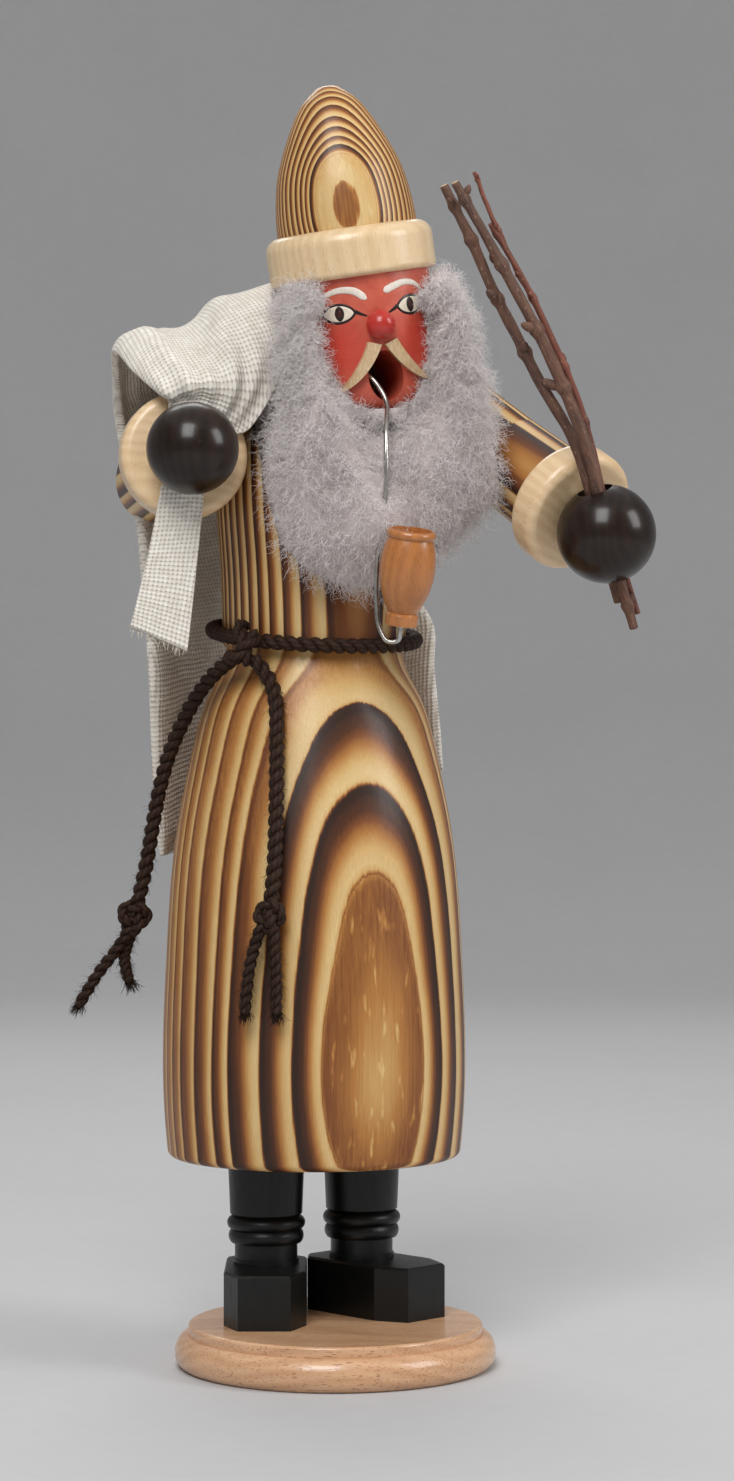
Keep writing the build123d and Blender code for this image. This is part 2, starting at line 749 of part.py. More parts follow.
def wrist_plane(name):
    """The cuff's front face, facing the hand."""
    along = forearm_direction(name)
    return Plane(origin=cuff_point(name) + along * (cuff_thickness / 2), z_dir=along)


hand_seat = {"right": strip_thickness + 2 * glue_gap, "left": 0.0}
dowels = {"shoulder_dowels": [], "elbow_dowels": [], "wrist_dowels": []}
for name, side in sides.items():
    mitre = mitre_plane(name)
    with BuildPart() as upper:
        add(upper_sleeve(name))
        split(bisect_by=shoulder_plane(side), keep=Keep.TOP)
        add(torso.part, mode=Mode.SUBTRACT)
        with BuildSketch(head_plane.offset(-head_bottom - glue_gap)):
            Circle(head_radius + glue_gap)
        extrude(amount=head_bottom + head_top, mode=Mode.SUBTRACT)
        add(dowel(shoulder_plane(side), shoulder_dowel_radius + glue_gap, 0, shoulder_dowel_depth + glue_gap),
            mode=Mode.SUBTRACT)
        add(dowel(mitre, elbow_dowel_radius + glue_gap, elbow_dowel_depth + glue_gap, 0), mode=Mode.SUBTRACT)
    save(upper.part, f"upper_sleeve_{name}")

    wrist = wrist_plane(name)
    wrist_in = cuff_thickness + wrist_dowel_depth
    wrist_out = hand_seat[name] + wrist_dowel_depth
    with BuildPart() as forearm:
        add(forearm_sleeve(name))
        add(dowel(mitre, elbow_dowel_radius + glue_gap, 0, elbow_dowel_depth + glue_gap), mode=Mode.SUBTRACT)
        add(dowel(wrist, wrist_dowel_radius + glue_gap, wrist_in + glue_gap, 0), mode=Mode.SUBTRACT)
    save(forearm.part, f"forearm_sleeve_{name}")

    with BuildPart() as cuff:
        with BuildSketch(wrist.offset(-cuff_thickness)):
            Circle(cuff_radius)
        extrude(amount=cuff_thickness)
        fillet(cuff.edges().filter_by(GeomType.CIRCLE), cuff_rim)
        add(dowel(wrist, wrist_dowel_radius + glue_gap, cuff_thickness, 0), mode=Mode.SUBTRACT)
    save(cuff.part, f"cuff_{name}")

    with BuildPart() as hand:
        with Locations(Plane(origin=hand_point(name), z_dir=wrist.z_dir)):
            Sphere(hand_radius[name])
        split(bisect_by=wrist.offset(hand_seat[name]), keep=Keep.TOP)
        add(dowel(wrist, wrist_dowel_radius + glue_gap, 0, wrist_out + glue_gap), mode=Mode.SUBTRACT)
        if name == "left":
            grip = Vector(*twig_long_points[2]) - Vector(*twig_long_points[4])
            add(dowel(Plane(origin=hand_point(name), z_dir=grip), twig_grip_radius, hand_radius[name],
                      hand_radius[name]), mode=Mode.SUBTRACT)
    save(hand.part, f"hand_{name}")

    dowels["shoulder_dowels"].append(
        dowel(shoulder_plane(side), shoulder_dowel_radius, shoulder_dowel_depth, shoulder_dowel_depth))
    dowels["elbow_dowels"].append(dowel(mitre, elbow_dowel_radius, elbow_dowel_depth, elbow_dowel_depth))
    dowels["wrist_dowels"].append(dowel(wrist, wrist_dowel_radius, wrist_in, wrist_out))

for name, pins in dowels.items():
    save(Part(children=pins), name)


# Sack: a bag round the back, its gathered neck over the right shoulder, and the strip below the hand
grip_plane = wrist_plane("right")
strip_plane = Plane(origin=grip_plane.origin + grip_plane.z_dir * glue_gap,
                    x_dir=up.cross(grip_plane.z_dir), z_dir=grip_plane.z_dir)
with BuildPart() as sack:
    start = radians(bag_start_angle)
    bag_outer = [(radius + bag_thickness, rise) for radius, rise in reversed(bag_inner)]
    with BuildSketch(Plane(origin=(0, body_setback, 0), x_dir=(cos(start), sin(start), 0),
                           z_dir=(sin(start), -cos(start), 0))):
        Polygon(*bag_inner, *bag_outer, align=None)
    revolve(axis=body_axis, revolution_arc=bag_end_angle - bag_start_angle)
    floor_middle = (bag_floor_left + bag_floor_right) / 2
    floor_fall = bag_floor_left - bag_floor_right
    floor_normal = (-floor_fall, 0, 2 * bag_floor_half_span)
    split(bisect_by=Plane(origin=(0, 0, floor_middle), z_dir=floor_normal), keep=Keep.TOP)
    for low, high, kept in (*((*pair, Keep.BOTTOM) for pair in zip(bag_left_edge, bag_left_edge[1:])),
                            (*bag_right_edge, Keep.TOP)):
        split(bisect_by=Plane(origin=low, z_dir=Vector(0, 1, 0).cross(high - low)), keep=kept)
    drape_end = strip_plane.from_local_coords(Vector(drape_end_shift, drape_end_rise, strip_thickness / 2))
    end_half = strip_plane.x_dir * (drape_end_width / 2)
    sections = [(right + up * shoulder_height, left + up * shoulder_height, ahead, thickness)
                for right, left, ahead, thickness in drape_sections]
    end_ahead = Vector(0.03, 0.05, 1.0)
    sections.append((drape_end - end_half, drape_end + end_half, end_ahead, drape_end_thickness))
    for right, left, ahead, thickness in sections:
        ahead = ahead - (left - right) * (ahead.dot(left - right) / (left - right).length ** 2)
        with BuildSketch(Plane(origin=(right + left) / 2, x_dir=left - right, z_dir=ahead)):
            RectangleRounded((left - right).length, thickness, thickness * 0.45)
    loft()
    for sleeve in (upper_sleeve, forearm_sleeve):
        add(sleeve("right", soft_gap), mode=Mode.SUBTRACT)
    with BuildSketch(strip_plane):
        Polygon(*strip_outline, align=None)
    extrude(amount=strip_thickness)
    with BuildSketch(strip_plane):
        Circle(wrist_dowel_radius + glue_gap)
    extrude(amount=strip_thickness, mode=Mode.SUBTRACT)
save(sack.part, "sack")

# Beard: a wool bib lofted through ovals, opened for the face and kept clear of what it lies on
def bowl_solid(extra=0.0):
    """The pipe bowl's turned outside, or a copy that is larger by extra all round."""
    groove = bowl_groove_height + bowl_groove_depth
    rim = bowl_height - bowl_rim_height
    neck = bowl_rim_radius - bowl_groove_depth + extra
    with BuildPart() as bowl:
        with BuildSketch(lathe_plane(bowl_foot, bowl_line)):
            with BuildLine():
                Polyline((0, bowl_height + extra), (0, -extra), (bowl_foot_radius + extra, -extra),
                         (bowl_foot_radius + extra, bowl_groove_height),
                         (bowl_foot_radius - bowl_groove_depth + extra, groove))
                ThreePointArc((bowl_foot_radius - bowl_groove_depth + extra, groove),
                              (bowl_radius + extra, span(groove, rim, 0.55)), (neck, rim))
                ThreePointArc((neck, rim), (bowl_rim_radius + extra, rim + bowl_rim_height * 0.45),
                              (neck, bowl_height + extra))
                Line((neck, bowl_height + extra), (0, bowl_height + extra))
            make_face()
        revolve(axis=Axis(bowl_foot, bowl_line))
    return bowl.part


with BuildPart() as beard:
    for rise, left, back, half_width, half_depth in beard_sections:
        with BuildSketch(Plane(origin=(left, back, head_centre.Z + rise))):
            Ellipse(half_width, half_depth)
    loft()
    add(torso_solid(soft_gap), mode=Mode.SUBTRACT)
    with BuildSketch(head_plane.offset(-head_bottom - soft_gap)):
        Circle(head_radius + soft_gap)
    extrude(amount=head_bottom + head_top + hat_band_height, mode=Mode.SUBTRACT)
    with BuildSketch(head_plane.offset(head_top - soft_gap)):
        Circle(hat_band_radius + soft_gap)
    extrude(amount=hat_band_height, mode=Mode.SUBTRACT)
    with BuildSketch(face_plane):
        with Locations((0, -face_opening_drop)):
            Ellipse(face_opening_half_width, face_opening_half_height)
    extrude(amount=2 * head_radius, mode=Mode.SUBTRACT)
    for name in sides:
        add(upper_sleeve(name, soft_gap), mode=Mode.SUBTRACT)
    add(sack.part, mode=Mode.SUBTRACT)
    add(bowl_solid(soft_gap), mode=Mode.SUBTRACT)
    add(tube(stem_path, stem_radius, soft_gap), mode=Mode.SUBTRACT)
save(beard.part, "beard")

# Pipe: a bent wire stem and a turned bowl with a dished top
save(tube(stem_path, stem_radius), "pipe_stem")
with BuildPart() as pipe_bowl:
    add(bowl_solid())
    with BuildSketch(Plane(origin=bowl_top, z_dir=bowl_line)):
        Circle(bowl_rim_radius - 2 * bowl_groove_depth)
    extrude(amount=-bowl_dish_depth, mode=Mode.SUBTRACT)
save(pipe_bowl.part, "pipe_bowl")


# Twigs: tapered rods with a slight kink at each bud, held in the left hand's bore
def rod(points, radii):
    points = [hand_point("left") + Vector(*point) for point in points]
    with BuildPart() as shoot:
        for index, (point, radius) in enumerate(zip(points, radii)):
            ahead = points[min(index + 1, len(points) - 1)] - points[max(index - 1, 0)]
            with BuildSketch(Plane(origin=point, z_dir=ahead)):
                Circle(radius)
        loft(ruled=True)
    return shoot.part


save(rod(twig_stout_points, twig_stout_radii), "twig_stout")
save(rod(twig_long_points, twig_long_radii), "twig_long")
with BuildPart() as twig_forked:
    add(rod(twig_slim_points, twig_slim_radii))
    add(rod(twig_fork_points, (twig_fork_radius,) * len(twig_fork_points)))
save(twig_forked.part, "twig_forked")

# Belt: a loop of cord in the waist groove, its knot, and two tails with knotted and parted ends
cord_radius = cord_diameter / 2
tilt = radians(belt_tilt)
with BuildPart() as belt_cord:
    belt_height = waist_height + belt_rise
    with Locations(Plane(origin=(0, body_setback, belt_height), z_dir=(0, -sin(tilt), cos(tilt)))):
        Torus(belt_radius, cord_radius)
save(belt_cord.part, "belt_cord")

tails = {"long": (long_tail_route, long_tail_strands), "short": (short_tail_route, short_tail_strands)}
tail_cords = {}
for name, (route, strand_routes) in tails.items():
    points = [at_waist(*point) for point in route]
    print(f"{name} tail radii:", [round(radius, 1) for radius in route_radii(points)])
    tail_cords[name] = tube(points, cord_radius)
    swept_length = tail_cords[name].volume / (pi * cord_radius**2)
    print(f"{name} tail length by volume: {swept_length:.1f} mm")
    strand_points = [[at_waist(*point) for point in strand] for strand in strand_routes]
    for strand in strand_points:
        print(f"{name} tail strand radii:", [round(radius, 1) for radius in route_radii(strand)])
    strands = [tube(strand, strand_diameter / 2) for strand in strand_points]
    end = points[-1]
    hang = (points[-1] - points[-2]).normalized()
    with BuildPart() as tail_knot:
        lower_lobe = end + hang * (tail_knot_length - tail_knot_radius)
        with Locations(end + hang * (tail_knot_radius * 0.3), lower_lobe):
            Sphere(tail_knot_radius)
        add(tail_cords[name], mode=Mode.SUBTRACT)
        for strand in strands:
            add(strand, mode=Mode.SUBTRACT)
    save(tail_cords[name], f"{name}_tail_cord")
    save(tail_knot.part, f"{name}_tail_knot")
    save(Part(children=strands), f"{name}_tail_strands")

with BuildPart() as belt_knot:
    with BuildSketch(Plane(origin=knot_centre - up * (knot_length / 2))):
        Circle(knot_radius)
    extrude(amount=knot_length)
    fillet(belt_knot.edges().filter_by(GeomType.CIRCLE), knot_round)
    add(belt_cord.part, mode=Mode.SUBTRACT)
    for cord in tail_cords.values():
        add(cord, mode=Mode.SUBTRACT)
save(belt_knot.part, "belt_knot")
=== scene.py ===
"""Looks of a turned wooden incense smoker with wool beard and linen sack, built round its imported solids."""

import functools
import logging
import math
from dataclasses import dataclass
from enum import Enum
from typing import Optional, Sequence

import bpy
import numpy as np
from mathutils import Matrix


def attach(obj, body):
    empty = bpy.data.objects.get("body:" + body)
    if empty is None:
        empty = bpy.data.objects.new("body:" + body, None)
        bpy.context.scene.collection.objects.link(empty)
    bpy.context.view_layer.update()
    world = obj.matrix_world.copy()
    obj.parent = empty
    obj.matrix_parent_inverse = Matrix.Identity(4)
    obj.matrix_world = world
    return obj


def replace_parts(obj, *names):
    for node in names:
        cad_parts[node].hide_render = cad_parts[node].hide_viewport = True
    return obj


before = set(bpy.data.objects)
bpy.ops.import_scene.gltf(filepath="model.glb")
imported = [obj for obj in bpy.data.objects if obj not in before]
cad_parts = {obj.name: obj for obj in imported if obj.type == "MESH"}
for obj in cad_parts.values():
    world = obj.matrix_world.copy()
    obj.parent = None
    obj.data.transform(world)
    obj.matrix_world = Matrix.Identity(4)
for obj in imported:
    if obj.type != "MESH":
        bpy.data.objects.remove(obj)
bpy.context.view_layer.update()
LOG = logging.getLogger("smoker")
Array = np.ndarray
Socket = bpy.types.NodeSocket
Triple = tuple[float, float, float]
Colour = tuple[float, float, float, float]
Floats = tuple[float, ...]

# Directions, and the figure's own axis behind the base's middle in millimetres
ORIGIN: Triple = (0.0, 0.0, 0.0)
LEFTWARD: Triple = (1.0, 0.0, 0.0)
UPWARD: Triple = (0.0, 0.0, 1.0)
WORLD_AXES = np.eye(3)
AXIS_BACK = 15.5
TWIG_GRAIN: Triple = (0.52, 0.12, -0.85)
TWIG_ASIDE: Triple = (0.2, -0.95, 0.1)

# Millimetres in a metre, and a strand's place and size as shares of its rope's radius
PER_METRE = 1000.0
STRAND_OFFSET = 0.47
STRAND_SIZE = 0.60

# Share of a hair's radius lost at its tip, a brush stroke's depth in millimetres, a flamed ring's largest Thin
HAIR_TAPER = 0.65
PAINT_ROOT = 0.05
THIN_LIMIT = 3.0


class Body(Enum):
    """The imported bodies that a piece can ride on."""

    STAND = "stand"
    BELT = "belt"
    UPPER = "upper_body"


# Small maths


def metres(points: Sequence) -> Array:
    """Turn millimetres into an array in metres."""
    return np.asarray(points, dtype=float) * 0.001


def unit(vectors: Array) -> Array:
    """Scale vectors along the last axis to length one."""
    return vectors / np.maximum(np.linalg.norm(vectors, axis=-1, keepdims=True), 1e-12)


def paint(red: float, green: float, blue: float) -> Colour:
    """Linear colour of a display colour.

    Args:
        red: Red from 0 to 255.
        green: Green from 0 to 255.
        blue: Blue from 0 to 255.

    Returns:
        The colour as four linear numbers with full alpha.
    """
    display = np.array([red, green, blue]) / 255.0
    linear = np.where(display <= 0.04045, display / 12.92, ((display + 0.055) / 1.055) ** 2.4)
    return (float(linear[0]), float(linear[1]), float(linear[2]), 1.0)


def smooth(knots: Array, count: int, closed: bool = False) -> Array:
    """Carry a smooth line through knots spaced evenly in the parameter.

    Each span is the cubic whose end slopes are half the chord between the neighbouring knots.

    Args:
        knots: Knots along the first axis, with any further axes carried along.
        count: How many points come out.
        closed: Whether the last knot joins the first.

    Returns:
        The line's points, count of them along the first axis.
    """
    total = len(knots)
    place = np.linspace(0, total if closed else total - 1, count, endpoint=not closed)
    index = np.minimum(place.astype(int), total - 1 if closed else total - 2)
    share = (place - index).reshape((-1,) + (1,) * (knots.ndim - 1))
    pick = (lambda step: knots[(index + step) % total]) if closed else (
        lambda step: knots[np.clip(index + step, 0, total - 1)])
    before, start, end, after = pick(-1), pick(0), pick(1), pick(2)
    slope_in, slope_out = (end - before) / 2, (after - start) / 2
    return (start * (2 * share**3 - 3 * share**2 + 1) + slope_in * (share**3 - 2 * share**2 + share)
            + end * (3 * share**2 - 2 * share**3) + slope_out * (share**3 - share**2))


def way_along(path: Array) -> Array:
    """Length of a line from its start to each of its points."""
    return np.concatenate([[0], np.cumsum(np.linalg.norm(np.diff(path, axis=0), axis=1))])


def even(path: Array, count: int) -> Array:
    """Respace a line's points evenly along its length.

    Args:
        path: The line's points.
        count: How many points come out.

    Returns:
        The evenly spaced points.
    """
    run = way_along(path)
    wanted = np.linspace(0, run[-1], count)
    return np.stack([np.interp(wanted, run, path[:, axis]) for axis in range(3)], axis=1)


def ripple(u: Array, v: Array, seed: int, waves: int, low: float, high: float) -> Array:
    """Smooth random bumps over two parameters: a sum of sine waves with random heading and phase.

    Args:
        u: First parameter.
        v: Second parameter.
        seed: Number that fixes the bumps.
        waves: How many sine waves are added.
        low: Lowest number of cycles over a unit of either parameter.
        high: Highest number of cycles.

    Returns:
        Heights of about -1 to 1.
    """
    rng = np.random.default_rng(seed)
    rate = rng.uniform(low, high, waves)
    turn = rng.uniform(0, 2 * np.pi, waves)
    phase = rng.uniform(0, 6.28, waves)
    cycles = u[..., None] * rate * np.cos(turn) + v[..., None] * rate * np.sin(turn)
    return np.sin(2 * np.pi * cycles + phase).sum(-1) / math.sqrt(waves)


# Meshes


@dataclass
class Shell:
    """Points, faces and face-corner UVs of a mesh in the making, in metres."""

    points: Array
    faces: list
    corners: Array

    def __add__(self, other: "Shell") -> "Shell":
        """Join two shells into one."""
        shift = len(self.points)
        moved = [[index + shift for index in face] for face in other.faces]
        return Shell(np.vstack([self.points, other.points]), self.faces + moved,
                     np.vstack([self.corners, other.corners]))


def pairs(first: Array, second: Array) -> Array:
    """Put two rows of numbers side by side, one pair to a row."""
    return np.stack([first, second], 1)


def loft(rings: Array, run: Optional[Array] = None, loop: bool = False,
         across: Optional[Array] = None) -> Shell:
    """Close a surface over rings of points: quads between rings and a pole at each end.

    Args:
        rings: Points as (rows, columns, 3), each row a closed ring.
        run: UV V of each row; the row number over the count when left out.
        loop: Whether the last ring joins the first, which leaves out the poles.
        across: UV U of each ring point; even steps from 0 to 1 round the ring when left out.

    Returns:
        The closed shell with outward faces.
    """
    rows, columns = rings.shape[:2]
    run = np.linspace(0, 1, rows) if run is None else run
    across = (np.broadcast_to(np.linspace(0, 1, columns + 1), (rows, columns + 1)) if across is None
              else np.hstack([across, across[:, :1]]))
    last = rows if loop else rows - 1
    i, j = np.meshgrid(np.arange(last), np.arange(columns), indexing="ij")
    i, j = i.ravel(), j.ravel()
    below, beside = (i + 1) % rows, (j + 1) % columns
    quads = np.stack([i * columns + j, i * columns + beside,
                      below * columns + beside, below * columns + j], 1)
    rise = np.append(run, 2 * run[-1] - run[-2]) if loop else run
    uv = np.stack([pairs(across[i, j], rise[i]), pairs(across[i, j + 1], rise[i]),
                   pairs(across[below, j + 1], rise[i + 1]), pairs(across[below, j], rise[i + 1])], 1)
    points = rings.reshape(-1, 3)
    tail, head = points[quads[:, 0]], points[quads[:, 2]]
    middle = points.mean(0)
    spread = np.cross(points[quads[:, 1]] - points[quads[:, 3]], head - tail)
    flip = np.einsum("ij,ij->", spread, (tail + head) / 2 - middle) > 0
    shell_faces, corners = quads.tolist(), [uv.reshape(-1, 2)]
    if not loop:
        k = np.arange(columns)
        top, bottom = len(points), len(points) + 1
        points = np.vstack([points, rings[0].mean(0), rings[-1].mean(0)])
        first = np.stack([np.full(columns, top), (k + 1) % columns, k], 1)
        base = (rows - 1) * columns
        final = np.stack([np.full(columns, bottom), base + k, base + (k + 1) % columns], 1)
        low, high = np.full(columns, run[0]), np.full(columns, run[-1])
        near = np.stack([pairs((across[0, k] + across[0, k + 1]) / 2, low), pairs(across[0, k + 1], low),
                         pairs(across[0, k], low)], 1)
        far = np.stack([pairs((across[-1, k] + across[-1, k + 1]) / 2, high), pairs(across[-1, k], high),
                        pairs(across[-1, k + 1], high)], 1)
        shell_faces += first.tolist() + final.tolist()
        corners += [near.reshape(-1, 2), far.reshape(-1, 2)]
    uvs = np.vstack(corners)
    if flip:
        sizes = np.array([len(face) for face in shell_faces])
        ends = np.cumsum(sizes)
        order = np.arange(len(uvs))
        owner = np.repeat(np.arange(len(sizes)), sizes)
        order = (ends[owner] - 1) - (order - (ends[owner] - sizes[owner]))
        shell_faces, uvs = [face[::-1] for face in shell_faces], uvs[order]
    return Shell(points, shell_faces, uvs)


def make_piece(name: str, shell: Shell, material: bpy.types.Material, body: Body) -> bpy.types.Object:
    """Put a shell into the scene as a piece that rides on a body.

    Args:
        name: The piece's name.
        shell: Its mesh.
        material: Its material.
        body: The body it rides on.

    Returns:
        The new object, at the origin.
    """
    mesh = bpy.data.meshes.new(name)
    mesh.from_pydata(shell.points.tolist(), [], shell.faces)
    layer = mesh.uv_layers.new(name="UVMap")
    layer.data.foreach_set("uv", shell.corners.astype(np.float32).ravel())
    mesh.polygons.foreach_set("use_smooth", np.ones(len(mesh.polygons), dtype=bool))
    mesh.materials.append(material)
    mesh.update()
    piece = bpy.data.objects.new(name, mesh)
    bpy.context.scene.collection.objects.link(piece)
    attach(piece, body.value)
    LOG.info("%s: %d faces", name, len(mesh.polygons))
    return piece


def frames(path: Array, reference: Array, loop: bool = False) -> tuple[Array, Array, Array]:
    """Directions along a line: its tangent, and two across it.

    The first across direction is the reference with its share along the tangent taken away.

    Args:
        path: Points of the line.
        reference: One direction, or one for each point.
        loop: Whether the line closes on itself.

    Returns:
        Tangents, first and second across directions.
    """
    ahead = np.roll(path, -1, 0) - np.roll(path, 1, 0) if loop else np.gradient(path, axis=0)
    tangent = unit(ahead)
    reference = np.broadcast_to(reference, path.shape)
    across = unit(reference - tangent * np.sum(reference * tangent, -1, keepdims=True))
    return tangent, across, np.cross(tangent, across)


def tube(path: Array, radius: Array, sides: int, reference: Array, loop: bool = False) -> Shell:
    """Carry a circle along a line.

    Args:
        path: Points of the line.
        radius: One radius, or one for each point.
        sides: Corners of the circle.
        reference: Direction that keeps the circle from twisting.
        loop: Whether the line closes on itself.

    Returns:
        The closed tube, with UV V in metres along it.
    """
    _, across, over = frames(path, reference, loop)
    turn = np.linspace(0, 2 * np.pi, sides, endpoint=False)[None, :, None]
    size = np.broadcast_to(radius, (len(path),))[:, None, None]
    rings = path[:, None] + size * (np.cos(turn) * across[:, None] + np.sin(turn) * over[:, None])
    return loft(rings, way_along(path), loop)


def rope(path: Array, radius: float, turns: float, reference: Array, strands: int = 2, sides: int = 10,
         loop: bool = False) -> Shell:
    """Lay strands round a line: each strand's centre runs round it as a helix, and carries a circle.

    Args:
        path: Points of the rope's centreline.
        radius: The rope's radius.
        turns: How often the strands go round it over its length.
        reference: Direction that keeps the rope from twisting.
        strands: How many strands there are.
        sides: Corners of a strand's circle.
        loop: Whether the rope closes on itself.

    Returns:
        All strands as one shell.
    """
    _, across, over = frames(path, reference, loop)
    share = np.linspace(0, 1, len(path), endpoint=not loop)[:, None]
    shells = []
    for strand in range(strands):
        turn = 2 * np.pi * (turns * share + strand / strands)
        out = np.cos(turn) * across + np.sin(turn) * over
        line = path + out * radius * STRAND_OFFSET
        shells.append(tube(line, radius * STRAND_SIZE, sides, out, loop))
    return sum(shells[1:], shells[0])


def fibres(roots: Array, aims: Array, lengths: Array, curl: Array, turns: Array, thick: Array, droop: Array,
           seed: int, rings: int = 8) -> Shell:
    """Thin curly hairs, all worked out at once.

    A hair's centreline goes along its aim, swings round it as a helix that opens from the root, and sags
    with the square of the way along. It carries a triangle that shrinks to the tip.

    Args:
        roots: Root of each hair.
        aims: Unit direction of each hair.
        lengths: Length of each hair.
        curl: Radius of each hair's swing.
        turns: Swings of each hair over its length.
        thick: Radius of each hair at its root.
        droop: How far each tip sags, as a vector.
        seed: Number that fixes the random swings and tones.
        rings: Triangles along a hair.

    Returns:
        The hairs as one shell; UV U is the hair's random tone and V runs from root to tip.
    """
    rng = np.random.default_rng(seed)
    count = len(roots)
    side = unit(np.cross(aims, unit(rng.normal(size=(count, 3)))))
    over = np.cross(aims, side)
    share = np.linspace(0, 1, rings)[None, :, None]
    phase = rng.uniform(0, 2 * np.pi, count)[:, None, None]
    swing = 2 * np.pi * turns[:, None, None] * share + phase
    opening = np.sqrt(share) * curl[:, None, None]
    line = (roots[:, None] + aims[:, None] * lengths[:, None, None] * share + droop[:, None] * share**2
            + opening * (np.cos(swing) * side[:, None] + np.sin(swing) * over[:, None]))
    tangent = unit(np.gradient(line, axis=1))
    across = unit(np.cross(tangent, side[:, None]))
    behind = np.cross(tangent, across)
    corner = (2 * np.pi * np.arange(3) / 3)[None, None, :, None]
    size = (thick[:, None, None] * (1 - HAIR_TAPER * share))[:, :, None]
    spokes = np.cos(corner) * across[:, :, None] + np.sin(corner) * behind[:, :, None]
    points = line[:, :, None] + size * spokes
    hair, ring, edge = np.meshgrid(np.arange(count), np.arange(rings - 1), np.arange(3), indexing="ij")
    first = (hair * rings + ring) * 3
    quads = np.stack([first + edge, first + (edge + 1) % 3, first + 3 + (edge + 1) % 3, first + 3 + edge], -1)
    base = np.arange(count) * rings * 3
    root_ends = np.stack([base + 2, base + 1, base], 1)
    tip_ends = np.stack([base, base + 1, base + 2], 1) + (rings - 1) * 3
    tone = rng.uniform(0, 1, count)
    low, high = ring / (rings - 1), (ring + 1) / (rings - 1)
    shade = tone[hair]
    start, end = np.stack([shade, low], -1), np.stack([shade, high], -1)
    uv = np.stack([start, start, end, end], -2).reshape(-1, 2)
    ends = [np.repeat(pairs(tone, level), 3, 0) for level in (np.zeros(count), np.ones(count))]
    faces = quads.reshape(-1, 4).tolist() + root_ends.tolist() + tip_ends.tolist()
    return Shell(points.reshape(-1, 3), faces, np.vstack([uv, *ends]))


def route_line(route: Sequence, count: int) -> Array:
    """Evenly spaced points on the NURBS line that has a route's points as its control points.

    Args:
        route: The route's points in metres.
        count: How many points come out.

    Returns:
        The points.
    """
    curve = bpy.data.curves.new("route", "CURVE")
    curve.dimensions = "3D"
    spline = curve.splines.new("NURBS")
    spline.points.add(len(route) - 1)
    spline.points.foreach_set("co", np.hstack([np.asarray(route), np.ones((len(route), 1))]).ravel())
    spline.order_u = 3
    spline.use_endpoint_u = True
    curve.resolution_u = 16
    holder = bpy.data.objects.new("route", curve)
    mesh = bpy.data.meshes.new_from_object(holder)
    points = np.empty(len(mesh.vertices) * 3)
    mesh.vertices.foreach_get("co", points)
    bpy.data.meshes.remove(mesh)
    bpy.data.objects.remove(holder)
    bpy.data.curves.remove(curve)
    return even(points.reshape(-1, 3), count)


# Shader building


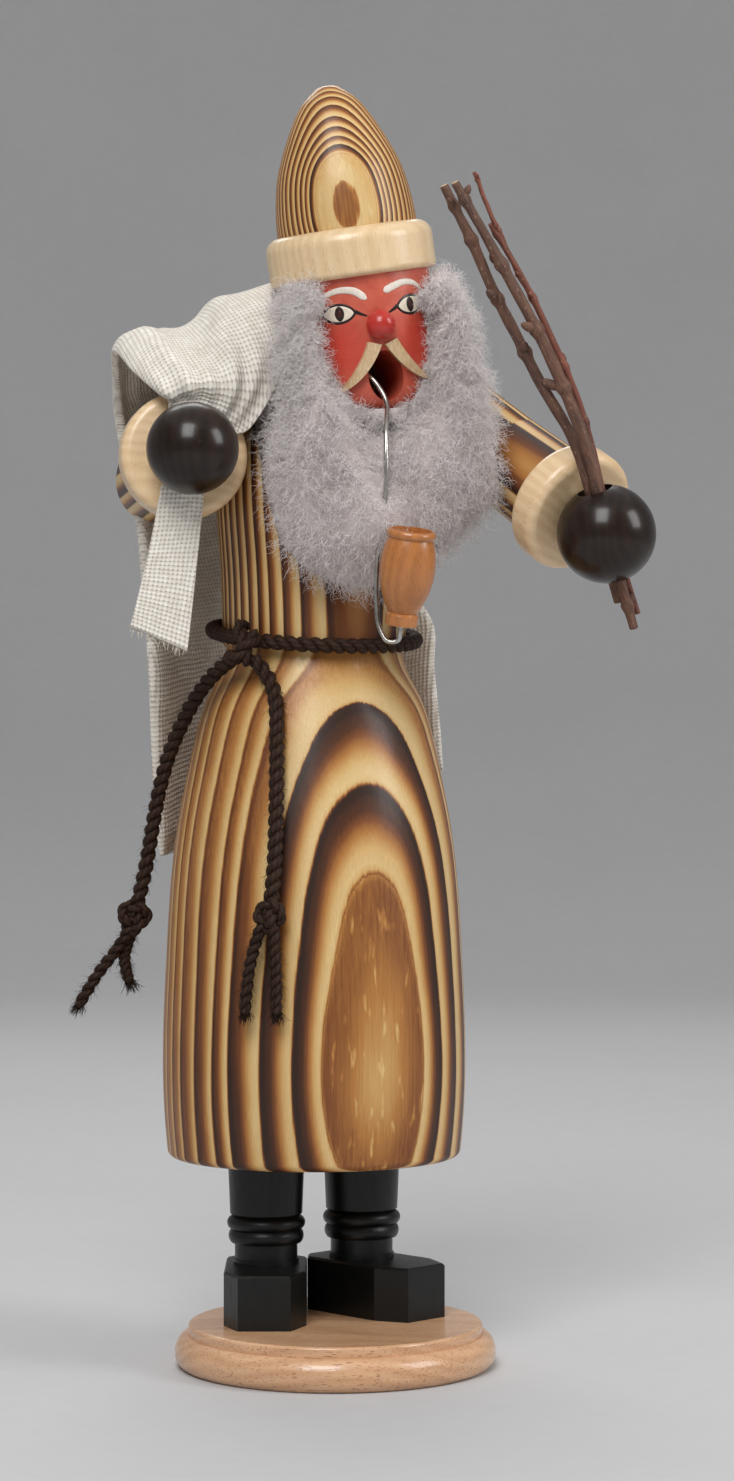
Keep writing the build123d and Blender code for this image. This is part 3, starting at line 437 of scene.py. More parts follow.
class Graph:
    """Adds and joins shader nodes in one tree."""

    def __init__(self, tree: bpy.types.NodeTree) -> None:
        """Keep the tree."""
        self.tree = tree

    def add(self, kind: str, settings: Optional[dict] = None,
            inputs: Optional[dict] = None) -> bpy.types.Node:
        """Add a node.

        Args:
            kind: The node's type.
            settings: Its properties.
            inputs: Values or sockets for its inputs, by name or number.

        Returns:
            The node.
        """
        node = self.tree.nodes.new(kind)
        for key, value in (settings or {}).items():
            setattr(node, key, value)
        for key, value in (inputs or {}).items():
            self.feed(node.inputs[key], value)
        return node

    def feed(self, socket: Socket, value: object) -> None:
        """Link a socket to an input, or set the input's value."""
        if isinstance(value, bpy.types.NodeSocket):
            self.tree.links.new(value, socket)
        else:
            socket.default_value = value

    def math(self, operation: str, *values: object, clamp: bool = False) -> Socket:
        """Add a Math node and return its result."""
        node = self.add("ShaderNodeMath", {"operation": operation, "use_clamp": clamp},
                        dict(enumerate(values)))
        return node.outputs[0]

    def vector(self, operation: str, *values: object) -> Socket:
        """Add a Vector Math node and return its vector, or its value for a dot product or length."""
        node = self.add("ShaderNodeVectorMath", {"operation": operation}, dict(enumerate(values)))
        return node.outputs["Value" if operation in ("DOT_PRODUCT", "LENGTH", "DISTANCE") else "Vector"]

    def mix(self, share: object, first: object, second: object, blend: str = "MIX") -> Socket:
        """Add a colour Mix node and return its colour."""
        node = self.add("ShaderNodeMix", {"data_type": "RGBA", "blend_type": blend},
                        {0: share, 6: first, 7: second})
        return node.outputs[2]

    def ramp(self, value: object, stops: Sequence[tuple[float, tuple]]) -> Socket:
        """Add a Color Ramp node and return its colour.

        Args:
            value: The ramp's position.
            stops: Positions with their linear colours.

        Returns:
            The colour socket.
        """
        node = self.add("ShaderNodeValToRGB", None, {0: value})
        elements = node.color_ramp.elements
        while len(elements) < len(stops):
            elements.new(0.5)
        for element, (place, colour) in zip(elements, stops):
            element.position = place
            element.color = colour
        return node.outputs[0]

    def levels(self, value: object, stops: Sequence[tuple[float, float]]) -> Socket:
        """Add a grey Color Ramp and return its value; stops are positions with levels."""
        return self.ramp(value, [(place, (level, level, level, 1.0)) for place, level in stops])

    def curve(self, value: object, points: Sequence[tuple[float, float]]) -> Socket:
        """Add a Float Curve of straight runs and return its value.

        Args:
            value: The curve's position from 0 to 1.
            points: Positions with values, both from 0 to 1.

        Returns:
            The value socket.
        """
        node = self.add("ShaderNodeFloatCurve", None, {"Value": value})
        line = node.mapping.curves[0]
        while len(line.points) < len(points):
            line.points.new(0.5, 0.5)
        for knot, (place, level) in zip(line.points, points):
            knot.location = (place, level)
            knot.handle_type = "VECTOR"
        node.mapping.update()
        return node.outputs[0]

    def remap(self, value: object, low: float, high: float, start: float, end: float) -> Socket:
        """Add a clamped Map Range node and return its value."""
        node = self.add("ShaderNodeMapRange", {"clamp": True},
                        {0: value, 1: low, 2: high, 3: start, 4: end})
        return node.outputs[0]

    def noise(self, place: Socket, scale: float, detail: float = 2.0, rough: float = 0.5) -> Socket:
        """Add a Noise Texture and return its factor."""
        node = self.add("ShaderNodeTexNoise", None,
                        {"Vector": place, "Scale": scale, "Detail": detail, "Roughness": rough})
        return node.outputs["Fac"]

    def stretched(self, place: Socket, rates: Triple) -> Socket:
        """Multiply a place by a rate for each axis."""
        return self.vector("MULTIPLY", place, rates)

    def streaks(self, place: Socket, rates: Triple, detail: float = 2.0, rough: float = 0.5) -> Socket:
        """Add a Noise Texture stretched by a rate for each axis and return its factor."""
        return self.noise(self.stretched(place, rates), 1.0, detail, rough)

    def weigh(self, first: object, share: float, second: object, other: float, clamp: bool = False) -> Socket:
        """Add two values, each multiplied by its own share, and return the sum."""
        return self.math("ADD", self.math("MULTIPLY", first, share), self.math("MULTIPLY", second, other),
                         clamp=clamp)

    def split(self, place: Socket) -> list[Socket]:
        """Part a place into its three numbers."""
        return list(self.add("ShaderNodeSeparateXYZ", None, {0: place}).outputs)

    def uv(self) -> Socket:
        """The piece's own UV map."""
        return self.add("ShaderNodeUVMap", {"uv_map": "UVMap"}).outputs[0]

    def bump(self, height: Socket, strength: float, depth: float) -> Socket:
        """Add a Bump node and return its normal; depth is in metres."""
        node = self.add("ShaderNodeBump", None, {"Strength": strength, "Distance": depth, "Height": height})
        return node.outputs[0]

    def group(self, tree: bpy.types.NodeTree, inputs: dict) -> bpy.types.Node:
        """Place a node group with its own values."""
        return self.add("ShaderNodeGroup", {"node_tree": tree}, inputs)


class Effect:
    """Shader node groups that several finishes share, each built once."""

    @staticmethod
    def start(name: str, inputs: dict[str, str], outputs: dict[str, str]) -> tuple:
        """Open a new group.

        Args:
            name: The group's name.
            inputs: Socket types by name.
            outputs: Socket types by name.

        Returns:
            The graph, the group's inputs node and its outputs node.
        """
        tree = bpy.data.node_groups.new(name, "ShaderNodeTree")
        for key, kind in inputs.items():
            tree.interface.new_socket(name=key, in_out="INPUT", socket_type="NodeSocket" + kind)
        for key, kind in outputs.items():
            tree.interface.new_socket(name=key, in_out="OUTPUT", socket_type="NodeSocket" + kind)
        return Graph(tree), tree.nodes.new("NodeGroupInput"), tree.nodes.new("NodeGroupOutput")

    @staticmethod
    @functools.cache
    def ring_sway() -> bpy.types.NodeTree:
        """How far growth rings wander: long waves along the grain and a little fraying by the fibres.

        Returns:
            The group, from Place in millimetres to Sway in rings.
        """
        g, given, result = Effect.start("ring_sway", {"Place": "Vector"}, {"Sway": "Float"})
        place = given.outputs["Place"]
        wave = g.streaks(place, (0.045, 0.045, 0.012), 2.0)
        fray = g.streaks(place, (1.5, 1.5, 0.035), 3.0, 0.6)
        sway = g.weigh(g.math("SUBTRACT", wave, 0.5), 0.30, g.math("SUBTRACT", fray, 0.5), 0.06)
        g.feed(result.inputs["Sway"], sway)
        return g.tree

    @staticmethod
    @functools.cache
    def flamed_grain() -> bpy.types.NodeTree:
        """Scorched softwood: each ring darkens fast and fades slowly to pale, with fibres along the grain.

        Returns:
            The group, from Ring, Burn, Thin (how soon a ring fades), Fleck and Place in millimetres to Color,
            Roughness and Height.
        """
        g, given, result = Effect.start(
            "flamed_grain",
            {"Ring": "Float", "Burn": "Float", "Thin": "Float", "Fleck": "Float", "Place": "Vector"},
            {"Color": "Color", "Roughness": "Float", "Height": "Float"})
        place = given.outputs["Place"]
        share = g.math("FRACT", given.outputs["Ring"])
        dark = g.levels(share, [(0.0, 0.5), (0.05, 0.94), (0.12, 1.0), (0.38, 0.80), (0.62, 0.36),
                                (0.80, 0.08), (0.91, 0.0), (0.96, 0.12), (1.0, 0.5)])
        dark = g.math("POWER", dark, given.outputs["Thin"])
        line = g.levels(share, [(0.0, 0.4), (0.04, 0.9), (0.09, 0.7), (0.20, 0.0), (0.97, 0.0), (1.0, 0.4)])
        fibre = g.streaks(place, (1.5, 1.5, 0.035), 4.0, 0.6)
        fine = g.streaks(place, (5.0, 5.0, 0.12), 3.0, 0.6)
        cloud = g.streaks(place, (0.05, 0.05, 0.02), 3.0)
        spot = g.streaks(place, (0.42, 0.42, 0.10), 2.0)
        scorch = g.math("MULTIPLY", dark, given.outputs["Burn"])
        edge = g.math("MULTIPLY", g.math("SUBTRACT", 1.0, given.outputs["Fleck"]), 0.20)
        scorch = g.math("ADD", scorch, g.math("MULTIPLY", line, edge))
        strength = g.math("ADD", 0.10, g.math("MULTIPLY", dark, 0.20))
        streak = g.math("MULTIPLY", g.math("SUBTRACT", fibre, 0.5), strength)
        patch = g.math("MULTIPLY", g.math("SUBTRACT", cloud, 0.42), 0.30)
        bleach = g.math("MULTIPLY", g.remap(spot, 0.60, 0.74, 0.0, 0.3), given.outputs["Fleck"])
        tone = g.math("SUBTRACT", g.math("ADD", g.math("ADD", scorch, streak), patch), bleach, clamp=True)
        colour = g.ramp(tone, [(0.0, paint(220, 189, 134)), (0.16, paint(207, 166, 104)),
                               (0.36, paint(176, 119, 60)), (0.58, paint(124, 71, 33)),
                               (0.80, paint(78, 42, 20)), (1.0, paint(48, 26, 14))])
        pale = g.remap(fine, 0.30, 0.75, 0.86, 1.08)
        shade = g.add("ShaderNodeCombineColor", None, {0: pale, 1: pale, 2: pale}).outputs[0]
        colour = g.mix(1.0, colour, shade, "MULTIPLY")
        g.feed(result.inputs["Color"], colour)
        g.feed(result.inputs["Roughness"], g.remap(fibre, 0.2, 0.8, 0.36, 0.50))
        g.feed(result.inputs["Height"], g.weigh(fine, 0.5, dark, 0.5))
        return g.tree

    @staticmethod
    @functools.cache
    def close_grain() -> bpy.types.NodeTree:
        """Close-grained wood: faint growth lines, long fibres and short darker pores along the grain.

        Returns:
            The group, from Place in millimetres (grain along Z), the colours Pale, Deep and Pore and the
            strength Pores to Color, Roughness and Height.
        """
        g, given, result = Effect.start(
            "close_grain",
            {"Place": "Vector", "Pale": "Color", "Deep": "Color", "Pore": "Color", "Pores": "Float"},
            {"Color": "Color", "Roughness": "Float", "Height": "Float"})
        place = given.outputs["Place"]
        bend = g.streaks(place, (0.05, 0.05, 0.02), 2.0)
        across = g.math("ADD", g.split(place)[0], g.math("MULTIPLY", bend, 9.0))
        line = g.math("SINE", g.math("MULTIPLY", across, 2.1))
        fibre = g.streaks(place, (1.6, 1.6, 0.06), 4.0, 0.6)
        cloud = g.streaks(place, (0.04, 0.04, 0.03), 2.0)
        share = g.weigh(g.math("ADD", line, 1.0), 0.20, fibre, 0.62)
        share = g.math("ADD", share, g.math("MULTIPLY", g.math("SUBTRACT", cloud, 0.5), 0.8), clamp=True)
        colour = g.mix(share, given.outputs["Pale"], given.outputs["Deep"])
        dash = g.streaks(place, (2.6, 2.6, 0.42), 1.0)
        pores = g.math("MULTIPLY", g.remap(dash, 0.60, 0.68, 0.0, 1.0), given.outputs["Pores"])
        colour = g.mix(pores, colour, given.outputs["Pore"])
        g.feed(result.inputs["Color"], colour)
        g.feed(result.inputs["Roughness"], g.remap(fibre, 0.2, 0.8, 0.26, 0.42))
        g.feed(result.inputs["Height"], g.math("SUBTRACT", fibre, g.math("MULTIPLY", pores, 0.6)))
        return g.tree

    @staticmethod
    @functools.cache
    def plain_weave() -> bpy.types.NodeTree:
        """Plain weave: warp and weft pass over each other by turns, each yarn with its own thickness and tone.

        Returns:
            The group, from Place in yarn counts to Height, Tone and the share of painted shade in the gaps
            between the yarns.
        """
        g, given, result = Effect.start("plain_weave", {"Place": "Vector"},
                                        {"Height": "Float", "Tone": "Float", "GapShade": "Float"})
        place = given.outputs["Place"]
        sway = g.streaks(place, (0.16, 0.16, 0.0), 2.0)
        drift = g.add("ShaderNodeTexNoise", None, {"Vector": g.stretched(place, (0.12, 0.12, 0.0)),
                                                   "Scale": 1.0, "Detail": 2.0}).outputs["Color"]
        u, v, _ = g.split(g.vector("ADD", place, drift))
        row, column = g.math("FLOOR", v), g.math("FLOOR", u)
        in_u = g.math("SUBTRACT", g.math("FRACT", u), 0.5)
        in_v = g.math("SUBTRACT", g.math("FRACT", v), 0.5)
        parity = g.math("FLOORED_MODULO", g.math("ADD", row, column), 2.0)
        over = g.math("SUBTRACT", g.math("MULTIPLY", parity, 2.0), 1.0)
        hump_u = g.math("COSINE", g.math("MULTIPLY", in_u, math.pi))
        hump_v = g.math("COSINE", g.math("MULTIPLY", in_v, math.pi))
        warp = g.math("ADD", hump_u, g.math("MULTIPLY", g.math("MULTIPLY", over, hump_v), 0.75))
        weft = g.math("SUBTRACT", hump_v, g.math("MULTIPLY", g.math("MULTIPLY", over, hump_u), 0.75))
        height = g.math("MAXIMUM", warp, weft)
        on_warp = g.add("ShaderNodeCombineXYZ", None, {0: column, 1: g.math("MULTIPLY", v, 0.09)})
        on_weft = g.add("ShaderNodeCombineXYZ", None, {0: g.math("MULTIPLY", u, 0.09), 1: row, 2: 7.0})
        slub_u, slub_v = (g.noise(yarn.outputs[0], 3.1, 2.0) for yarn in (on_warp, on_weft))
        tone = g.weigh(slub_u, 0.5, slub_v, 0.5)
        g.feed(result.inputs["Height"], g.math("ADD", height, g.math("MULTIPLY", tone, 0.8)))
        g.feed(result.inputs["Tone"], g.weigh(tone, 0.8, sway, 0.2))
        # Painted shade: more where the yarns lie low, in the gaps between them.
        g.feed(result.inputs["GapShade"], g.remap(height, 0.35, 1.15, 1.0, 0.0))
        return g.tree

    @staticmethod
    @functools.cache
    def spun_yarn() -> bpy.types.NodeTree:
        """Spun yarn: thin fibres that wind round a strand, as stripes slanting across its UV.

        Returns:
            The group, from Place (U round, V along in millimetres) to Height and Tone.
        """
        g, given, result = Effect.start("spun_yarn", {"Place": "Vector"},
                                        {"Height": "Float", "Tone": "Float"})
        u, v, _ = g.split(given.outputs["Place"])
        slant = g.weigh(u, 5.0, v, 1.1)
        wave = g.math("SINE", g.math("MULTIPLY", slant, 2 * math.pi))
        lint = g.streaks(given.outputs["Place"], (9.0, 2.6, 1.0), 3.0, 0.6)
        g.feed(result.inputs["Height"], g.math("ADD", g.math("MULTIPLY", wave, 0.35), lint))
        g.feed(result.inputs["Tone"], g.math("ADD", g.math("MULTIPLY", wave, 0.18), lint, clamp=True))
        return g.tree


class Finish:
    """Base of all finishes: makes a material with a Principled BSDF once, which each finish fills in."""

    made: dict[str, bpy.types.Material] = {}
    name: str

    def material(self) -> bpy.types.Material:
        """Build the material once and return it."""
        if self.name not in self.made:
            material = bpy.data.materials.new(self.name)
            material.use_nodes = True
            material.node_tree.nodes.clear()
            g = Graph(material.node_tree)
            shader = g.add("ShaderNodeBsdfPrincipled")
            g.add("ShaderNodeOutputMaterial", None, {"Surface": shader.outputs[0]})
            self.fill(g, shader)
            self.made[self.name] = material
        return self.made[self.name]

    def fill(self, g: Graph, shader: bpy.types.Node) -> None:
        """Add the finish's own nodes.

        Args:
            g: The material's graph.
            shader: Its Principled BSDF.
        """
        raise NotImplementedError

    def place(self, g: Graph, origin: Sequence[float] = ORIGIN,
              axes: Sequence[Sequence[float]] = WORLD_AXES) -> Socket:
        """Object coordinates in millimetres about an origin, turned to three axes.

        Args:
            g: The material's graph.
            origin: The pattern's middle in millimetres.
            axes: Three unit directions, the last along the grain.

        Returns:
            The turned place.
        """
        coordinates = g.add("ShaderNodeTexCoord").outputs["Object"]
        moved = g.vector("SUBTRACT", g.vector("MULTIPLY", coordinates, (PER_METRE,) * 3), tuple(origin))
        parts = {index: g.vector("DOT_PRODUCT", moved, tuple(axis)) for index, axis in enumerate(axes)}
        return g.add("ShaderNodeCombineXYZ", None, parts).outputs[0]


def wood_axes(depth: Sequence[float], grain: Sequence[float]) -> Array:
    """Three square directions: ring depth, across, and along the grain.

    Args:
        depth: Direction in which the rings follow each other.
        grain: Direction along the fibres.

    Returns:
        The directions as rows.
    """
    along = unit(np.asarray(grain, dtype=float))
    first = np.asarray(depth, dtype=float)
    first = unit(first - along * (first @ along))
    return np.stack([first, np.cross(along, first), along])


@dataclass(frozen=True)
class FlamedWood(Finish):
    """Scorched and lacquered softwood: where its rings' edges lie by depth, and how dark each is burnt."""

    name: str
    origin: Triple
    depth: Triple
    grain: Triple
    edges: Floats
    burns: Floats
    thins: Floats
    top_burns: Floats = ()
    fade: tuple[float, float] = (0.0, 1.0)
    flecks: Floats = (0.0,)

    def by_ring(self, g: Graph, ring: Socket, values: Sequence[float], scale: float = 1.0) -> Socket:
        """A value for each ring, picked by the ring's number.

        Args:
            g: The material's graph.
            ring: The ring number with its share.
            values: One value for each ring, or one for all.
            scale: What the values are divided by to lie between 0 and 1.

        Returns:
            The value socket.
        """
        values = list(values) if len(values) > 1 else list(values) * (len(self.edges) - 1)
        last = len(values) - 1
        place = g.math("DIVIDE", g.math("FLOOR", ring), float(last), clamp=True)
        steps = [(i / last, value / scale) for i, value in enumerate(values)]
        return g.math("MULTIPLY", g.curve(place, steps), scale)

    def fill(self, g: Graph, shader: bpy.types.Node) -> None:
        """Add the finish's own nodes."""
        place = self.place(g, self.origin, wood_axes(self.depth, self.grain))
        depth, _, along = g.split(place)
        low, high, last = self.edges[0], self.edges[-1], len(self.edges) - 1
        share = g.remap(depth, low, high, 0.0, 1.0)
        steps = [((edge - low) / (high - low), index / last) for index, edge in enumerate(self.edges)]
        number = g.curve(share, steps)
        sway = g.group(Effect.ring_sway(), {"Place": place}).outputs["Sway"]
        ring = g.math("ADD", g.math("MULTIPLY", number, last), sway)
        burn = self.by_ring(g, ring, self.burns)
        if self.top_burns:
            rise = g.remap(along, *self.fade, 0.0, 1.0)
            top = self.by_ring(g, ring, self.top_burns)
            burn = g.math("ADD", burn, g.math("MULTIPLY", g.math("SUBTRACT", top, burn), rise))
        grain = g.group(Effect.flamed_grain(), {
            "Ring": ring, "Burn": burn, "Thin": self.by_ring(g, ring, self.thins, THIN_LIMIT),
            "Fleck": self.by_ring(g, ring, self.flecks), "Place": place})
        g.feed(shader.inputs["Base Color"], grain.outputs["Color"])
        g.feed(shader.inputs["Roughness"], grain.outputs["Roughness"])
        g.feed(shader.inputs["Normal"], g.bump(grain.outputs["Height"], 0.22, 0.00025))
        shader.inputs["Coat Weight"].default_value = 0.18
        shader.inputs["Coat Roughness"].default_value = 0.2
        shader.inputs["Specular IOR Level"].default_value = 0.3


@dataclass(frozen=True)
class CloseWood(Finish):
    """Clear-lacquered close-grained wood in three tones."""

    name: str
    pale: Colour
    deep: Colour
    pore: Colour
    pores: float
    origin: Triple
    depth: Triple
    grain: Triple
    coat: float = 0.3
    coat_rough: float = 0.18
    relief: float = 0.12
    specular: float = 0.5

    def fill(self, g: Graph, shader: bpy.types.Node) -> None:
        """Add the finish's own nodes."""
        place = self.place(g, self.origin, wood_axes(self.depth, self.grain))
        grain = g.group(Effect.close_grain(), {"Place": place, "Pale": self.pale, "Deep": self.deep,
                                               "Pore": self.pore, "Pores": self.pores})
        g.feed(shader.inputs["Base Color"], grain.outputs["Color"])
        g.feed(shader.inputs["Roughness"], grain.outputs["Roughness"])
        g.feed(shader.inputs["Normal"], g.bump(grain.outputs["Height"], self.relief, 0.0002))
        shader.inputs["Coat Weight"].default_value = self.coat
        shader.inputs["Coat Roughness"].default_value = self.coat_rough
        shader.inputs["Specular IOR Level"].default_value = self.specular


@dataclass(frozen=True)
class SkinPaint(Finish):
    """Red-brown face paint with brush marks, redder on the cheeks, over faint wood grain."""

    name: str
    cheeks: tuple[Triple, ...]
    axis: Triple

    def fill(self, g: Graph, shader: bpy.types.Node) -> None:
        """Add the finish's own nodes."""
        place = self.place(g, ORIGIN, wood_axes(LEFTWARD, self.axis))
        world = self.place(g)
        glow: object = 0.0
        for cheek in self.cheeks:
            near = g.remap(g.vector("DISTANCE", world, cheek), 3.0, 11.0, 1.0, 0.0)
            glow = g.math("MAXIMUM", glow, near)
        cloud = g.noise(world, 0.22, 3.0)
        fibre = g.streaks(place, (1.4, 1.4, 0.05), 3.0)
        brush = g.streaks(world, (0.5, 0.5, 2.2), 2.0)
        colour = g.mix(g.remap(cloud, 0.3, 0.7, 0.0, 1.0), paint(208, 102, 78), paint(188, 76, 56))
        colour = g.mix(g.math("MULTIPLY", glow, 0.75), colour, paint(206, 54, 40))
        colour = g.mix(g.remap(brush, 0.35, 0.75, 0.0, 0.22), colour, paint(162, 58, 43))
        g.feed(shader.inputs["Base Color"], colour)
        g.feed(shader.inputs["Roughness"], g.remap(brush, 0.2, 0.8, 0.34, 0.52))
        relief = g.math("ADD", fibre, g.math("MULTIPLY", brush, 0.5))
        g.feed(shader.inputs["Normal"], g.bump(relief, 0.16, 0.0002))
        shader.inputs["Coat Weight"].default_value = 0.2
        shader.inputs["Coat Roughness"].default_value = 0.3


@dataclass(frozen=True)
class BrushPaint(Finish):
    """A painted coat with fine brush marks between two tones."""

    name: str
    pale: Colour
    deep: Colour
    rates: Triple
    rough: float = 0.4
    coat: float = 0.2
    relief: float = 0.2

    def fill(self, g: Graph, shader: bpy.types.Node) -> None:
        """Add the finish's own nodes."""
        place = self.place(g)
        mark = g.streaks(place, self.rates, 4.0, 0.6)
        cloud = g.noise(place, 0.12, 2.0)
        share = g.weigh(mark, 0.75, cloud, 0.35, clamp=True)
        colour = g.mix(g.remap(share, 0.3, 0.75, 0.0, 1.0), self.pale, self.deep)
        g.feed(shader.inputs["Base Color"], colour)
        g.feed(shader.inputs["Roughness"], g.remap(mark, 0.2, 0.8, self.rough - 0.06, self.rough + 0.1))
        g.feed(shader.inputs["Normal"], g.bump(mark, self.relief, 0.0002))
        shader.inputs["Coat Weight"].default_value = self.coat
        shader.inputs["Coat Roughness"].default_value = 0.25
        shader.inputs["Specular IOR Level"].default_value = 0.3


@dataclass(frozen=True)
class BareMetal(Finish):
    """Drawn wire or rolled sheet: fine marks along one direction and a dull bloom."""

    name: str
    pale: Colour
    deep: Colour
    rates: Triple
    rough: float

    def fill(self, g: Graph, shader: bpy.types.Node) -> None:
        """Add the finish's own nodes."""
        place = self.place(g)
        draw = g.streaks(place, self.rates, 3.0)
        bloom = g.noise(place, 0.3, 3.0)
        colour = g.mix(g.remap(bloom, 0.35, 0.7, 0.0, 1.0), self.pale, self.deep)
        dull = g.remap(g.math("ADD", draw, bloom), 0.6, 1.4, self.rough - 0.07, self.rough + 0.12)
        g.feed(shader.inputs["Base Color"], colour)
        g.feed(shader.inputs["Roughness"], dull)
        g.feed(shader.inputs["Normal"], g.bump(draw, 0.08, 0.0001))
        shader.inputs["Metallic"].default_value = 1.0


@dataclass(frozen=True)
class TwigBark(Finish):
    """Thin dry bark: long ridges along the twigs and pale breathing spots."""

    name: str
    pale: Colour
    deep: Colour

    def fill(self, g: Graph, shader: bpy.types.Node) -> None:
        """Add the finish's own nodes."""
        place = self.place(g, ORIGIN, wood_axes(LEFTWARD, TWIG_GRAIN))
        ridge = g.streaks(place, (1.9, 1.9, 0.16), 4.0, 0.65)
        cloud = g.streaks(place, (0.2, 0.2, 0.05), 3.0)
        spot = g.streaks(place, (1.5, 1.5, 0.8), 1.0)
        share = g.remap(g.math("ADD", ridge, g.math("MULTIPLY", cloud, 0.6)), 0.55, 1.05, 0.0, 1.0)
        colour = g.mix(share, self.deep, self.pale)
        colour = g.mix(g.remap(spot, 0.66, 0.72, 0.0, 0.6), colour, paint(150, 118, 96))
        g.feed(shader.inputs["Base Color"], colour)
        g.feed(shader.inputs["Roughness"], g.remap(cloud, 0.3, 0.7, 0.55, 0.8))
        g.feed(shader.inputs["Normal"], g.bump(ridge, 0.5, 0.0003))


@dataclass(frozen=True)
class Linen(Finish):
    """Coarse unbleached linen in plain weave with painted shade in the gaps between the yarns; the UV map is in
    metres on the cloth.
    """

    name: str
    pitch: float
    pale: Colour
    deep: Colour

    def fill(self, g: Graph, shader: bpy.types.Node) -> None:
        """Add the finish's own nodes."""
        place = g.stretched(g.uv(), (1.0 / self.pitch, 1.0 / self.pitch, 0.0))
        weave = g.group(Effect.plain_weave(), {"Place": place})
        colour = g.mix(g.remap(weave.outputs["Tone"], 0.34, 0.66, 0.0, 1.0), self.pale, self.deep)
        # Painted shade darkens the gaps between the yarns.
        colour = g.mix(g.math("MULTIPLY", weave.outputs["GapShade"], 0.6), colour, paint(132, 120, 102))
        g.feed(shader.inputs["Base Color"], colour)
        g.feed(shader.inputs["Roughness"], g.remap(weave.outputs["Tone"], 0.3, 0.7, 0.82, 0.95))
        g.feed(shader.inputs["Normal"], g.bump(weave.outputs["Height"], 0.75, 0.00022))
        shader.inputs["Sheen Weight"].default_value = 0.12
        shader.inputs["Sheen Roughness"].default_value = 0.5
        shader.inputs["Specular IOR Level"].default_value = 0.25


@dataclass(frozen=True)
class CordYarn(Finish):
    """Dark brown cord yarn with fibres that wind round each strand; UV U round, V along in metres."""

    name: str
    pale: Colour
    deep: Colour

    def fill(self, g: Graph, shader: bpy.types.Node) -> None:
        """Add the finish's own nodes."""
        yarn = g.group(Effect.spun_yarn(), {"Place": g.stretched(g.uv(), (1.0, PER_METRE, 0.0))})
        colour = g.mix(g.remap(yarn.outputs["Tone"], 0.25, 0.85, 0.0, 1.0), self.deep, self.pale)
        g.feed(shader.inputs["Base Color"], colour)
        g.feed(shader.inputs["Roughness"], g.remap(yarn.outputs["Tone"], 0.2, 0.8, 0.58, 0.78))
        g.feed(shader.inputs["Normal"], g.bump(yarn.outputs["Height"], 0.6, 0.0002))
        shader.inputs["Specular IOR Level"].default_value = 0.25


@dataclass(frozen=True)
class Wool(Finish):
    """Fleece: each hair has its own tone from UV U and pales towards its tip along UV V."""

    name: str
    pale: Colour
    deep: Colour

    def fill(self, g: Graph, shader: bpy.types.Node) -> None:
        """Add the finish's own nodes."""
        own_tone, to_tip, _ = g.split(g.uv())
        place = self.place(g)
        lock = g.noise(place, 0.16, 3.0)
        share = g.weigh(own_tone, 0.5, lock, 0.5)
        colour = g.mix(g.remap(share, 0.25, 0.75, 0.0, 1.0), self.deep, self.pale)
        colour = g.mix(g.math("MULTIPLY", to_tip, 0.25), colour, self.pale)
        tuft = g.streaks(place, (1.6, 1.6, 0.9), 4.0, 0.65)
        g.feed(shader.inputs["Base Color"], colour)
        g.feed(shader.inputs["Roughness"], g.remap(tuft, 0.2, 0.8, 0.75, 0.95))
        g.feed(shader.inputs["Normal"], g.bump(tuft, 0.5, 0.0006))
        shader.inputs["Sheen Weight"].default_value = 0.2
        shader.inputs["Specular IOR Level"].default_value = 0.2


# The figure


def dress(finish: Finish, *nodes: str) -> None:
    """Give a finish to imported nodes.

    Args:
        finish: The finish.
        nodes: The nodes' names.
    """
    material = finish.material()
    for node in nodes:
        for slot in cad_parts[node].material_slots:
            slot.material = material
        LOG.info("%s: %s", node, material.name)


@dataclass
class Stand:
    """Base, feet, coat skirt and the incense tray."""

    axis: Triple = (0.0, AXIS_BACK, 0.0)
    skirt_edges: Floats = (-43.0, -38.0, -33.0, -27.0, -22.0, -16.0, -11.5, -6.0, -1.0, 4.2, 10.9, 17.5, 22.2,
                           29.6, 35.0, 38.6, 42.4)
    skirt_burns: Floats = (0.48, 0.44, 0.5, 0.44, 0.5, 0.46, 0.52, 0.48, 0.54, 0.64, 0.8, 0.86, 1.0, 1.0,
                           0.98, 0.54)
    skirt_thins: Floats = (0.4, 0.5, 0.35, 0.5, 0.4, 0.4, 0.35, 0.4, 0.42, 0.5, 0.65, 0.9, 1.1, 1.1, 1.0, 0.6)
    skirt_flecks: Floats = (0.1,) * 13 + (0.05, 0.05, 1.0)
    waist_burns: Floats = (0.42, 0.38, 0.42, 0.38, 0.42, 0.38, 0.42, 0.4, 0.42, 0.42, 0.44, 0.42, 0.36, 0.98,
                           0.98, 0.42)
    waist_fade: tuple[float, float] = (70.0, 185.0)

    def dress(self) -> None:
        """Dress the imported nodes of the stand."""
        dress(CloseWood("base_wood", paint(226, 182, 142), paint(196, 148, 108), paint(150, 100, 66),
                        pores=0.75, origin=ORIGIN, depth=(0.0, 0.25, 1.0), grain=(0.9, -0.42, 0.0), coat=0.5,
                        coat_rough=0.12), "base_plate")
        dress(BrushPaint("black_paint", paint(15, 16, 15), paint(6, 7, 6), rates=(0.7, 0.7, 0.16), rough=0.4,
                         coat=0.15, relief=0.3), "shoe_right", "shoe_left", "leg_right", "leg_left")
        dress(FlamedWood("flamed_wood", self.axis, depth=(0.042, -1.0, 0.006), grain=UPWARD,
                         edges=self.skirt_edges, burns=self.skirt_burns, thins=self.skirt_thins,
                         top_burns=self.waist_burns, fade=self.waist_fade, flecks=self.skirt_flecks),
              "coat_skirt")
        dress(BareMetal("tin", paint(196, 194, 186), paint(120, 112, 98), rates=(0.2, 4.0, 4.0), rough=0.34),
              "incense_tray")
        dress(STEEL, "tray_nail")


